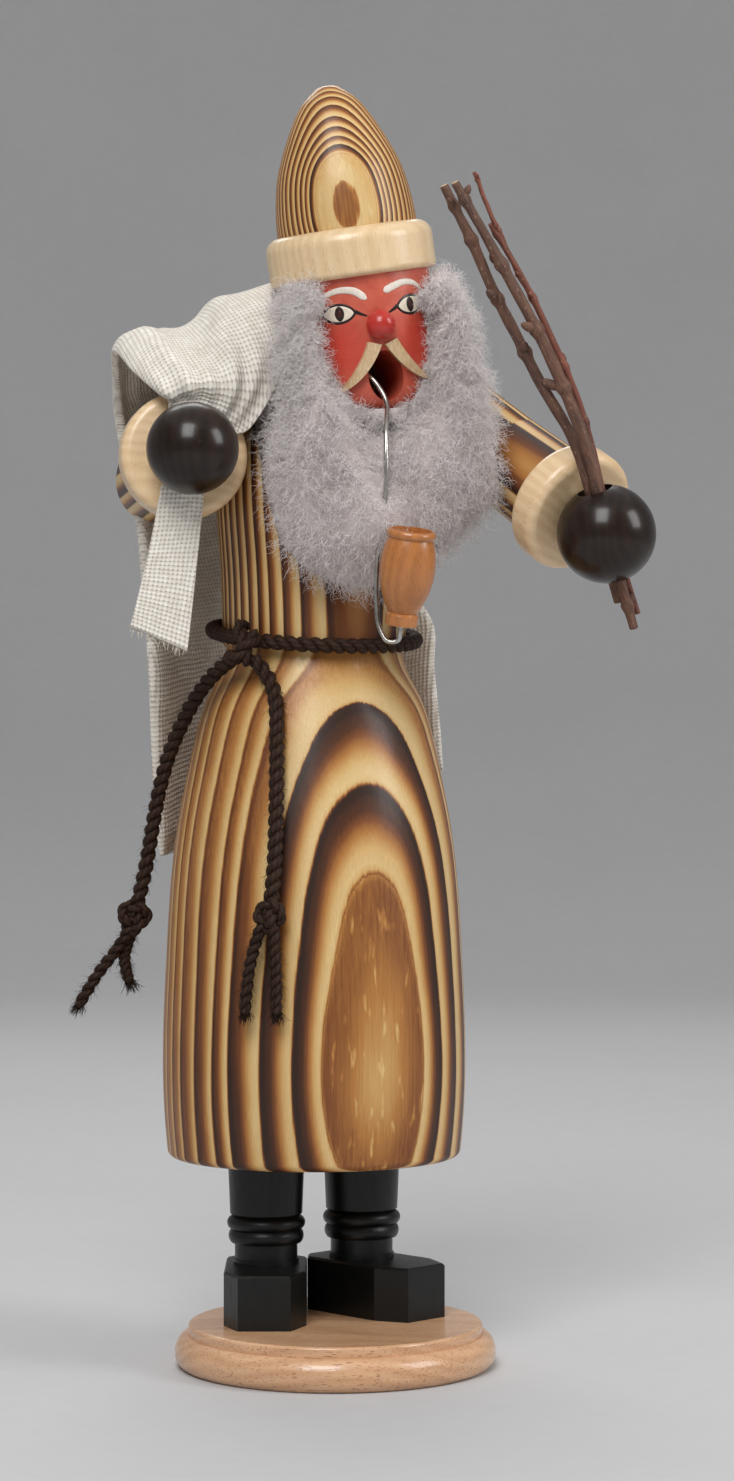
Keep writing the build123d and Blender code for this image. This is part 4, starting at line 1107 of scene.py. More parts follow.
@dataclass
class Belt:
    """The belt of twisted cord with its knot and its two hanging tails."""

    radius: float = 2.0
    loop_radius: float = 27.7
    centre: Triple = (0.0, AXIS_BACK, 196.4)
    tilt: float = 8.0
    lay: float = 6.6
    loop_points: int = 520
    tail_points: int = 260
    tail_fuzz: int = 420
    knot_out: Triple = (-0.836, -0.549, 0.0)
    knot_along: Triple = (0.549, -0.836, 0.0)
    knot_seat: Triple = (-23.2, 0.3, 194.0)
    knot_radius: float = 1.9
    knot_wraps: tuple = (
        ((1.2, -2.6, 4.4), (3.6, -2.0, 3.4), (4.9, -0.6, 0.4), (4.8, 0.8, -3.0), (4.2, 1.6, -5.8)),
        ((3.0, 3.4, 1.4), (5.6, 2.0, -1.0), (6.6, -0.4, -3.6), (5.8, -3.0, -4.6), (4.0, -4.8, -4.2)))
    tie_drop: float = 0.0030
    tie_swing: Triple = (0.00128, 0.00118, 0.00135)
    fray_hairs: int = 90
    fray_fuzz: int = 260
    long_route: tuple = (
        (-27.4, 1.6, 190.0), (-29.9, 6.4, 187.6), (-32.2, 11.6, 183.6), (-34.4, 16.2, 178.6),
        (-36.6, 20.4, 172.0), (-38.9, 24.2, 164.0), (-40.6, 26.8, 155.0), (-41.8, 28.6, 145.6),
        (-42.9, 29.8, 136.4), (-44.2, 30.8, 128.4), (-45.6, 31.5, 122.4))
    short_route: tuple = (
        (-24.4, -3.4, 188.8), (-21.8, -5.6, 185.2), (-20.5, -8.0, 180.4), (-20.9, -10.8, 173.6),
        (-22.0, -13.4, 164.6), (-23.0, -15.9, 154.0), (-24.0, -17.8, 143.0), (-24.8, -18.9, 133.4),
        (-26.0, -19.5, 125.0))
    long_strands: tuple = (
        ((-47.3, 31.8, 116.6), (-50.6, 33.4, 110.4), (-55.4, 35.6, 104.4), (-60.2, 37.6, 95.4)),
        ((-46.0, 33.0, 116.4), (-47.8, 34.2, 111.4), (-48.4, 34.4, 106.8), (-47.0, 33.9, 102.0)))
    short_strands: tuple = (
        ((-28.4, -19.0, 119.4), (-30.4, -18.2, 113.4), (-31.8, -17.4, 105.6), (-32.4, -17.2, 96.6)),
        ((-25.9, -21.4, 119.2), (-25.7, -21.3, 112.8), (-25.2, -21.6, 105.4), (-25.5, -21.9, 96.6)))

    def loop(self) -> bpy.types.Object:
        """The belt: a rope laid round a tilted circle."""
        turn = np.linspace(0, 2 * np.pi, self.loop_points, endpoint=False)[:, None]
        slope = math.radians(self.tilt)
        side, back = np.array(LEFTWARD), np.array([0.0, math.cos(slope), math.sin(slope)])
        path = metres(self.centre) + metres(self.loop_radius) * (np.cos(turn) * side + np.sin(turn) * back)
        turns = round(2 * math.pi * self.loop_radius / self.lay)
        upward = np.array([0.0, -math.sin(slope), math.cos(slope)])
        shell = rope(path, metres(self.radius), turns, upward, loop=True)
        piece = make_piece("belt_rope", shell, CORD.material(), Body.BELT)
        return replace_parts(piece, "belt_cord")

    def knot(self) -> bpy.types.Object:
        """The belt's knot: two turns of rope that cross over the loop and tuck in above and below it."""
        out = unit(np.array(self.knot_out))
        along, up = np.array(self.knot_along), np.array(UPWARD)
        seat = metres(self.knot_seat)
        shells = []
        for wrap in self.knot_wraps:
            local = smooth(metres(wrap), 60)
            path = seat + local[:, :1] * out + local[:, 1:2] * along + local[:, 2:] * up
            shells.append(rope(path, metres(self.knot_radius), 1.7, out))
        piece = make_piece("belt_knot_rope", shells[0] + shells[1], CORD.material(), Body.BELT)
        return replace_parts(piece, "belt_knot")

    def end_knot(self, name: str, end: Array, hang: Array) -> Shell:
        """A tight overhand knot: a three-lobed knotted ring pulled along the cord.

        The ring's radius swings as 2 + cos 3t while its angle runs as 2t, and its height as sin 3t.

        Args:
            name: The tail's name, which only turns the knot.
            end: Where the tail ends.
            hang: Direction in which the tail hangs.

        Returns:
            The knot's shell.
        """
        t = np.linspace(0, 2 * np.pi, 150, endpoint=False)[:, None]
        facing = (0.5, 0.85, 0.1) if name == "long" else (0.9, 0.4, 0.0)
        side = unit(np.cross(hang, np.array(facing)))
        deep = np.cross(hang, side)
        reach = 2.0 + np.cos(3 * t)
        along, aside, across = self.tie_swing
        path = (end + hang * self.tie_drop + hang * reach * np.cos(2 * t) * along
                + side * reach * np.sin(2 * t) * aside + deep * np.sin(3 * t) * across)
        return rope(path, metres(1.5), 8, deep + 0.3 * side, loop=True, sides=8)

    def frayed(self, strand: Sequence, seed: int) -> Shell:
        """One parted strand: a thin two-ply rope that frays into loose hairs at its tip.

        Args:
            strand: The strand's route in millimetres.
            seed: Number that fixes the hairs.

        Returns:
            The strand's shell.
        """
        path = route_line(metres(strand), 70)
        shell = rope(path, metres(1.6), 4.2, np.array([0.4, -0.9, 0.1]), sides=8)
        rng, count = np.random.default_rng(seed), self.fray_hairs
        aim = unit(unit(path[-1] - path[-6]) + rng.normal(size=(count, 3)) * 0.28)
        roots = path[-4] + rng.normal(size=(count, 3)) * 0.0005
        hairs = fibres(roots, aim, rng.uniform(0.002, 0.0046, count), np.full(count, 0.0003),
                       rng.uniform(0.4, 1.2, count), np.full(count, 0.00013), np.zeros((count, 3)), seed, 6)
        return shell + hairs + self.fuzz(path, 1.5, self.fray_fuzz, seed + 20)

    def fuzz(self, path: Array, radius: float, count: int, seed: int) -> Shell:
        """Loose fibres that stand off a cord.

        Args:
            path: The cord's centreline.
            radius: Its radius in millimetres.
            count: How many fibres there are.
            seed: Number that fixes them.

        Returns:
            The fibres' shell.
        """
        rng = np.random.default_rng(seed)
        at = rng.integers(1, len(path) - 1, count)
        ahead = unit(path[at + 1] - path[at - 1])
        out = unit(np.cross(ahead, rng.normal(size=(count, 3))))
        aims = unit(out * rng.uniform(0.2, 0.9, (count, 1)) + ahead + 0.4 * rng.normal(size=(count, 3)))
        return fibres(path[at] + out * metres(radius * 0.85), aims, rng.uniform(0.0012, 0.0030, count),
                      np.full(count, 0.0003), rng.uniform(0.3, 1.0, count), np.full(count, 0.00006),
                      np.zeros((count, 3)), seed, 5)

    def tail(self, name: str, route: Sequence, strands: Sequence) -> None:
        """One hanging tail with its knot and its parted strands.

        Args:
            name: long or short.
            route: The tail's route in millimetres.
            strands: Routes of its two parted strands.
        """
        path = route_line(metres(route), self.tail_points)
        length = float(np.linalg.norm(np.diff(path, axis=0), axis=1).sum())
        shell = rope(path, metres(self.radius), length / metres(self.lay), np.array([0.7, -0.7, 0.1]))
        shell = shell + self.fuzz(path, self.radius, self.tail_fuzz, 31)
        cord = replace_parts(make_piece(f"{name}_tail_rope", shell, CORD.material(), Body.BELT),
                           f"{name}_tail_cord")
        hang = unit(path[-1] - path[-8])
        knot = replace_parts(make_piece(f"{name}_tail_tie", self.end_knot(name, path[-1], hang), CORD.material(),
                                      Body.BELT), f"{name}_tail_knot")
        ends = self.frayed(strands[0], 3) + self.frayed(strands[1], 4)
        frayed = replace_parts(make_piece(f"{name}_tail_ends", ends, CORD.material(), Body.BELT),
                             f"{name}_tail_strands")

    def build(self) -> None:
        """Build the loop, the knot and both tails."""
        self.loop()
        self.knot()
        self.tail("long", self.long_route, self.long_strands)
        self.tail("short", self.short_route, self.short_strands)


@dataclass
class Head:
    """The head with its painted face, moustache and hat."""

    centre: Triple = (4.0, -7.5, 280.0)
    lean: Triple = (-0.18, -0.058, 1.0)
    turn: float = 8.5
    radius: float = 20.0
    eye_angle: float = 29.5
    eye_rise: float = 2.0
    eye_tilt: float = 0.15
    iris_angle: float = 28.6
    crown_origin: Triple = (3.2, -8.0, 298.0)
    crown_front: Triple = (-0.36, -0.93, 0.0)
    crown_tilt: float = 0.1
    crown_edges: Floats = (*np.linspace(-20.0, 13.6, 20).tolist(), 15.2, 16.4, 17.4, 18.2, 19.0, 20.5, 22.5)
    crown_burns: Floats = (0.56,) * 17 + (0.6, 0.64, 0.68, 0.72, 0.76, 0.66, 0.9, 0.08, 0.46)
    crown_thins: Floats = (0.8,) * 17 + (1.0, 1.1, 1.2, 1.2, 1.2, 1.2, 0.7, 1.0, 0.8)
    crown_flecks: Floats = (0.0,) * 24 + (0.9, 0.9)

    def axes(self) -> tuple[Array, Array, Array]:
        """Directions to the figure's left, to the back and up along the head."""
        axis = unit(np.asarray(self.lean))
        left = np.array([math.cos(math.radians(self.turn)), -math.sin(math.radians(self.turn)), 0.0])
        left = unit(left - axis * (left @ axis))
        return left, np.cross(axis, left), axis

    def at(self, left: Array, back: Array, rise: Array) -> Array:
        """A place in the head's own frame, from millimetres to metres in the part's frame."""
        to_left, to_back, up = self.axes()
        return metres(self.centre) + 0.001 * (np.asarray(left)[..., None] * to_left
                                              + np.asarray(back)[..., None] * to_back
                                              + np.asarray(rise)[..., None] * up)

    def on_face(self, angle: Array, rise: Array, lift: Array) -> Array:
        """A place on the head's drum.

        Args:
            angle: Degrees from straight ahead, to the figure's left.
            rise: Height along the head in millimetres.
            lift: Height above the surface in millimetres.

        Returns:
            Places in metres.
        """
        turn = np.radians(angle)
        reach = self.radius + lift
        return self.at(reach * np.sin(turn), -reach * np.cos(turn), rise)

    def dab(self, angle: Array, rise: Array, lift: float) -> Shell:
        """A dab of paint: a closed outline filled from its middle, slightly domed, with its rim in the wood.

        Args:
            angle: Angles of the outline in degrees.
            rise: Heights of the outline in millimetres.
            lift: How thick the paint is.

        Returns:
            The dab's shell.
        """
        share = np.array([0.05, 0.45, 0.8, 0.96, 1.0, 0.9, 0.4])[:, None]
        height = np.array([1.0, 0.97, 0.85, 0.5, 0.0, -0.5, -0.5])[:, None] * lift
        middle_angle, middle_rise = angle.mean(), rise.mean()
        return loft(self.on_face(middle_angle + share * (angle - middle_angle)[None],
                                 middle_rise + share * (rise - middle_rise)[None], height))

    def stroke(self, angle: Sequence[float], rise: Sequence[float], width: Sequence[float],
               lift: float) -> Shell:
        """A brush stroke: a flat oval carried along a line on the face.

        Args:
            angle: Angles of the line's knots in degrees.
            rise: Heights of its knots in millimetres.
            width: Half widths at its knots in millimetres.
            lift: How thick the paint is.

        Returns:
            The stroke's shell.
        """
        count = 40
        line = smooth(np.stack([np.asarray(angle), np.asarray(rise), np.asarray(width)], 1), count)
        run = np.stack([np.radians(line[:, 0]) * self.radius, line[:, 1]], 1)
        ahead = unit(np.gradient(run, axis=0))
        turn = np.linspace(0, 2 * np.pi, 12, endpoint=False)[None]
        ends = np.clip(np.minimum(np.arange(count), np.arange(count)[::-1]) / 4.0, 0.05, 1.0) ** 0.5
        reach = (line[:, 2] * ends)[:, None] * np.cos(turn)
        angles = line[:, :1] - np.degrees(ahead[:, 1:] * reach / self.radius)
        rises = line[:, 1:2] + ahead[:, :1] * reach
        height = np.where(np.sin(turn) > 0, np.sin(turn) * lift, np.sin(turn) * PAINT_ROOT)
        return loft(self.on_face(angles, rises, height))

    def almond(self, middle: float, rise: float, half_angle: float, half_rise: float,
               tilt: float) -> tuple[Array, Array]:
        """Outline of an almond: an oval whose height runs as sin t times its size to the power 0.35.

        Args:
            middle: Angle of the middle in degrees.
            rise: Height of the middle.
            half_angle: Half width in degrees.
            half_rise: Half height in millimetres.
            tilt: How far its outer corner is raised.

        Returns:
            Angles and heights of the outline.
        """
        t = np.linspace(0, 2 * np.pi, 48, endpoint=False)
        swell = np.sin(t) * np.abs(np.sin(t)) ** 0.35
        return middle + half_angle * np.cos(t), rise + half_rise * swell + tilt * np.cos(t)

    def disc(self, middle: float, half_angle: float, half_rise: float, lift: float) -> Shell:
        """A round dab at the height of the eyes.

        Args:
            middle: Angle of the middle in degrees.
            half_angle: Half width in degrees.
            half_rise: Half height in millimetres.
            lift: How thick the paint is.

        Returns:
            The dab's shell.
        """
        t = np.linspace(0, 2 * np.pi, 36, endpoint=False)
        return self.dab(middle + half_angle * np.cos(t), self.eye_rise + half_rise * np.sin(t), lift)

    def face(self) -> None:
        """Paint the eyes, lash lines and brows."""
        for name, side in (("right", -1.0), ("left", 1.0)):
            eye, tilt = side * self.eye_angle, side * self.eye_tilt
            rim = self.dab(*self.almond(eye, self.eye_rise, 13.6, 2.75, tilt), 0.10)
            lash = self.stroke([side * 17.5, side * 13.0, side * 8.0], [2.2, 1.3, 0.5],
                               [0.55, 0.42, 0.22], 0.10)
            crease = self.stroke([side * 43.0, side * 45.5, side * 47.5], [2.2, 1.9, 1.2],
                                 [0.45, 0.35, 0.2], 0.10)
            make_piece(f"eye_line_{name}", rim + lash + crease, EYE_LINE.material(), Body.UPPER)
            white = self.dab(*self.almond(eye, self.eye_rise, 12.0, 2.15, tilt), 0.17)
            make_piece(f"eye_white_{name}", white, EYE_WHITE.material(), Body.UPPER)
            iris = self.disc(side * self.iris_angle, 4.2, 2.05, 0.23)
            make_piece(f"eye_iris_{name}", iris, EYE_LINE.material(), Body.UPPER)
            spot = self.disc(side * self.iris_angle, 2.0, 1.1, 0.28)
            make_piece(f"eye_spot_{name}", spot, EYE_SPOT.material(), Body.UPPER)
            outer, inner = (48.5, 4.8) if side < 0 else (45.0, 6.2)
            brow = self.stroke([side * outer, side * 36.5, side * 25.5, side * 15.0, side * 7.0],
                               [5.2, 7.3, 8.0, 7.2, inner], [0.35, 0.7, 0.85, 1.0, 0.95], 0.22)
            make_piece(f"brow_{name}", brow, BROW.material(), Body.UPPER)

    def dress(self) -> None:
        """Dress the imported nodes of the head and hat."""
        _, _, axis = self.axes()
        cheeks = tuple(tuple(PER_METRE * self.on_face(np.array(side * 33.0), np.array(-7.5), np.array(0.0)))
                       for side in (-1.0, 1.0))
        dress(SkinPaint("skin_paint", cheeks, tuple(axis)), "head")
        dress(BrushPaint("nose_paint", paint(196, 54, 44), paint(176, 42, 36), rates=(0.5, 0.5, 0.2),
                         rough=0.26, coat=0.6, relief=0.08), "nose")
        dress(BrushPaint("cream_paint", paint(222, 198, 160), paint(182, 146, 104), rates=(1.6, 1.6, 0.5),
                         rough=0.45, coat=0.1, relief=0.4), "moustache_right", "moustache_left")
        dress(CloseWood("pale_wood", paint(234, 208, 168), paint(214, 182, 138), paint(186, 148, 104),
                        pores=0.3, origin=(4.0, -7.5, 300.0), depth=(0.3, -0.95, 0.0), grain=tuple(axis),
                        coat=0.3, coat_rough=0.2), "hat_band")
        forward = unit(np.array(self.crown_front))
        grain = unit(axis - self.crown_tilt * forward)
        dress(FlamedWood("flamed_hat", self.crown_origin, tuple(forward), tuple(grain), self.crown_edges,
                         self.crown_burns, self.crown_thins, flecks=self.crown_flecks), "hat_crown")
        dress(DOWEL, "neck_dowel")


@dataclass
class Arms:
    """Sleeves, cuffs and hands."""

    right_upper: Triple = (-17.2, 12.2, -30.7)
    left_upper: Triple = (23.4, -26.4, -27.6)
    right_fore: Triple = (-0.18, -0.98, 0.05)
    left_fore: Triple = (0.245, -0.835, -0.49)
    ring_edges: Floats = (-15.0, -10.6, -6.4, -2.2, 2.6, 6.0, 10.2, 15.0)
    ring_burns: Floats = (0.9, 1.0, 0.9, 1.0, 0.85, 1.0, 0.9)

    def sleeve(self, name: str, origin: tuple, grain: tuple, depth: tuple) -> FlamedWood:
        """A flamed sleeve with rings about 4 mm apart along one depth."""
        return FlamedWood(name, origin, depth, grain, self.ring_edges, self.ring_burns, thins=(1.6,))

    def dress(self) -> None:
        """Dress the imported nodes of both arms."""
        dress(self.sleeve("flamed_upper_right", (-22.0, 14.0, 271.0), self.right_upper, (-0.6, -0.8, 0.0)),
              "upper_sleeve_right")
        dress(self.sleeve("flamed_upper_left", (22.0, 14.0, 271.0), self.left_upper, (-0.5, -0.6, 0.2)),
              "upper_sleeve_left")
        dress(self.sleeve("flamed_fore_right", (-38.9, 26.0, 240.8), self.right_fore, (-0.8, 0.1, 0.5)),
              "forearm_sleeve_right")
        dress(self.sleeve("flamed_fore_left", (45.4, -12.4, 243.4), self.left_fore, (-0.7, -0.3, 0.5)),
              "forearm_sleeve_left")
        for name, grain in (("right", self.right_fore), ("left", self.left_fore)):
            dress(CloseWood(f"pale_cuff_{name}", paint(240, 212, 172), paint(218, 182, 136),
                            paint(186, 146, 100), pores=0.3, origin=(0.0, 0.0, 240.0), depth=(0.2, 0.3, 1.0),
                            grain=grain, coat=0.3, coat_rough=0.2), f"cuff_{name}")
        dress(CloseWood("dark_stain", paint(42, 27, 18), paint(20, 13, 9), paint(9, 7, 6), pores=0.6,
                        origin=(0.0, 0.0, 230.0), depth=(0.8, -0.5, 0.2), grain=(0.1, 0.3, 1.0), coat=0.5,
                        coat_rough=0.2, relief=0.14, specular=0.12), "hand_right", "hand_left")
        dress(DOWEL, "shoulder_dowels", "elbow_dowels", "wrist_dowels")


@dataclass
class Torso:
    """The hollow torso with the pipe."""

    axis: Triple = (0.0, AXIS_BACK, 0.0)
    ring_edges: Floats = tuple(np.linspace(-30.0, 30.0, 20).tolist())
    ring_burns: Floats = (0.8, 0.7, 0.85, 0.75, 0.8, 0.9, 0.75) + (0.85, 0.75, 0.8) * 4

    def dress(self) -> None:
        """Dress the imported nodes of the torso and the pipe."""
        dress(FlamedWood("flamed_torso", self.axis, depth=(0.10, -1.0, 0.0), grain=UPWARD,
                         edges=self.ring_edges, burns=self.ring_burns, thins=(1.3,)), "torso")
        dress(CloseWood("pipe_wood", paint(192, 124, 64), paint(158, 96, 46), paint(116, 68, 34), pores=0.4,
                        origin=(4.0, -35.6, 197.6), depth=(0.6, -0.8, 0.0), grain=(0.024, -0.233, 0.972),
                        coat=0.45, coat_rough=0.16, relief=0.2), "pipe_bowl")
        dress(STEEL, "pipe_stem")


@dataclass
class Beard:
    """The wool beard: a lumpy fleece round the face with thousands of loose curly hairs."""

    head: Head
    rows: int = 150
    columns: int = 64
    hairs: int = 4300
    bundles: int = 6
    rim_share: float = 0.07
    end_angles: tuple[float, float] = (-131.0, 123.0)
    angles: tuple = (-131, -95, -71, -58, -50, -40, -32, -25, -18, -10, -4, 3, 12, 22, 28, 33, 41, 50, 62, 80,
                     100, 123)
    outer: Floats = (24.5, 24.0, 28.0, 34.0, 41.5, 51.5, 59.5, 63.5, 66.0, 66.5, 65.0, 62.0, 57.5, 55.5, 53.5,
                     49.0, 41.0, 34.8, 28.4, 24.4, 24.6, 24.8)
    front: Floats = (18.0, 22.5, 26.0, 28.0, 29.5, 30.0, 30.5, 31.0, 31.0, 31.0, 31.0, 31.0, 31.0, 31.0, 30.5,
                     30.0, 29.5, 28.5, 27.5, 25.5, 23.0, 19.0)
    rim_drops: tuple[float, float] = (22.6, 16.5)
    rim_sides: tuple[float, float] = (15.6, 18.2)
    rim_powers: tuple[float, float] = (1.6, 2.0)
    middle_rise: float = -4.5
    face_radius: float = 20.5
    chin_rise: float = -27.2
    torso_heights: Floats = (190.0, 202.0, 216.0, 230.0, 240.5, 255.0, 264.6, 273.5, 279.5, 283.0)
    torso_radii: Floats = (25.4, 25.6, 26.2, 27.1, 27.4, 26.6, 24.8, 19.6, 12.4, 3.0)

    def degrees(self, way: Array) -> Array:
        """Angle round the face at the first parameter, 0 straight down and growing to the figure's left."""
        return self.end_angles[0] + way * (self.end_angles[1] - self.end_angles[0])

    def form(self, way: Array, round_: Array) -> Array:
        """The fleece's surface.

        The first parameter runs round the face from the right temple under the chin to the left one. The
        second runs round the fleece's section: from the face's rim over the front to the outer edge and back
        against the head. Reach from the rim to the edge follows a table by angle, the front bulges as the
        root of a sine from the face, and points that would lie in the head or the torso are moved out to
        their surface.

        Args:
            way: First parameter from 0 to 1.
            round_: Second parameter from 0 to 1.

        Returns:
            Places in metres.
        """
        degrees = self.degrees(way)
        angle = np.radians(degrees)
        low = np.cos(angle) > 0
        drop, power = np.where(low, *self.rim_drops), np.where(low, *self.rim_powers)
        side = np.where(np.sin(angle) > 0, *self.rim_sides)
        part_side, part_drop = np.abs(np.sin(angle)) / side, np.abs(np.cos(angle)) / drop
        inner = (part_side**power + part_drop**power) ** (-1 / power)
        reach = np.interp(degrees, self.angles, self.outer)
        bulge = np.interp(degrees, self.angles, self.front)
        turn = 2 * np.pi * round_
        share = (1 - np.cos(turn)) / 2
        spread = inner + (reach - inner) * share
        swell = np.clip(np.sin(turn), 0, 1) ** 0.55
        left, rise = spread * np.sin(angle), self.middle_rise - spread * np.cos(angle)
        lumps = ripple(way * 3.2, round_ * 2.0, 5, 14, 0.8, 3.2) * 1.6
        over_stem = 3.8 * np.exp(-((left + 9.6) / 7.5) ** 2 - ((rise + 55.0) / 13.0) ** 2)
        down = np.clip(spread - 26.0, 0, 60) / 44.0
        seat = 10.0 - 17.0 * np.clip(down * 1.6, 0, 1)
        back = seat - swell * (seat + bulge - 6.5 * down**2 + lumps + over_stem)
        face = -np.sqrt(np.maximum(self.face_radius**2 - left**2, 0.0))
        on_face = (turn < np.pi) & (face < 0) & (rise > self.chin_rise)
        back = np.where(on_face, np.minimum(back, face), back)
        return self.outside(self.head.at(left, back, rise))

    def outside(self, places: Array) -> Array:
        """Move places that lie in the torso or the head out to their surface.

        Args:
            places: Places in metres.

        Returns:
            The moved places.
        """
        moved = places.copy()
        offset = moved[..., :2] - metres((0.0, AXIS_BACK))
        distance = np.linalg.norm(offset, axis=-1)
        wanted = np.interp(moved[..., 2], metres(self.torso_heights), metres(self.torso_radii)) + 0.0004
        moved[..., :2] += offset * (np.maximum(wanted / np.maximum(distance, 1e-6), 1.0) - 1.0)[..., None]
        _, _, up = self.head.axes()
        local = moved - metres(self.head.centre)
        along = local @ up
        flat = local - along[..., None] * up
        distance = np.linalg.norm(flat, axis=-1)
        inside = (along > -0.0272) & (along < 0.024)
        wanted = np.where(along > 0.0105, 0.0227, 0.0204)
        grow = np.where(inside, np.maximum(wanted / np.maximum(distance, 1e-6), 1.0), 1.0)
        return metres(self.head.centre) + along[..., None] * up + flat * grow[..., None]

    def build(self) -> None:
        """Build the fleece and its hairs."""
        way, round_ = np.meshgrid(np.linspace(0.0, 1.0, self.rows),
                                  np.linspace(0, 1, self.columns, endpoint=False), indexing="ij")
        shell = loft(self.form(way, round_))
        # The fleece takes the darker wool tones: painted shade deep in the beard under the hairs.
        fleece = make_piece("beard_fleece", shell, SHADED_UNDER_WOOL.material(), Body.UPPER)
        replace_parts(fleece, "beard")
        for bundle in range(self.bundles):
            make_piece(f"beard_hairs_{bundle + 1}", self.locks(bundle), WOOL.material(), Body.UPPER)

    def locks(self, bundle: int) -> Shell:
        """One bundle of short curly hairs that stand on the fleece's front and lean away from the face.

        Args:
            bundle: The bundle's number, which fixes its hairs.

        Returns:
            The hairs' shell.
        """
        count, step = self.hairs, 1e-3
        rng = np.random.default_rng(40 + bundle)
        way, round_ = rng.uniform(0.0, 1.0, count), np.clip(rng.beta(0.85, 1.0, count) * 0.5, 0.002, 0.5)
        round_ = np.where(rng.random(count) < self.rim_share, rng.uniform(0.002, 0.03, count), round_)
        roots = self.form(way, round_)
        normal = unit(np.cross(self.form(way + step, round_) - self.form(way - step, round_),
                               self.form(way, round_ + step) - self.form(way, round_ - step)))
        normal *= np.sign(np.sum(normal * (roots - metres((2.0, 6.0, 250.0))), -1, keepdims=True))
        left, _, up = self.head.axes()
        angle = np.radians(self.degrees(way))[:, None]
        away = np.sin(angle) * left - np.cos(angle) * up
        rim = np.clip(1 - round_ / 0.12, 0, 1)[:, None]
        lock = np.stack([ripple(way * 9, round_ * 9, seed, 9, 0.6, 2.0) for seed in (1, 2, 3)], 1)
        aims = unit(normal * rng.uniform(0.15, 0.75, (count, 1)) + lock * 0.45
                    + rng.normal(size=(count, 3)) * 0.45
                    + away * (0.1 + rng.uniform(-0.5, 0.6, (count, 1)) * rim)
                    + np.array([0.0, 0.0, -0.2]) * (1 - rim))
        lengths = rng.uniform(0.003, 0.0075, count) * (1 - 0.4 * rim[:, 0])
        droop = np.stack([np.zeros(count), np.zeros(count), -rng.uniform(0.0, 0.0012, count)], 1)
        curl = rng.uniform(0.0005, 0.0013, count) * (1 - 0.5 * rim[:, 0])
        turns = rng.uniform(0.9, 2.3, count)
        thick = rng.uniform(0.00005, 0.00010, count)
        return fibres(roots - normal * 0.0006, aims, lengths, curl, turns, thick, droop, 70 + bundle, 8)


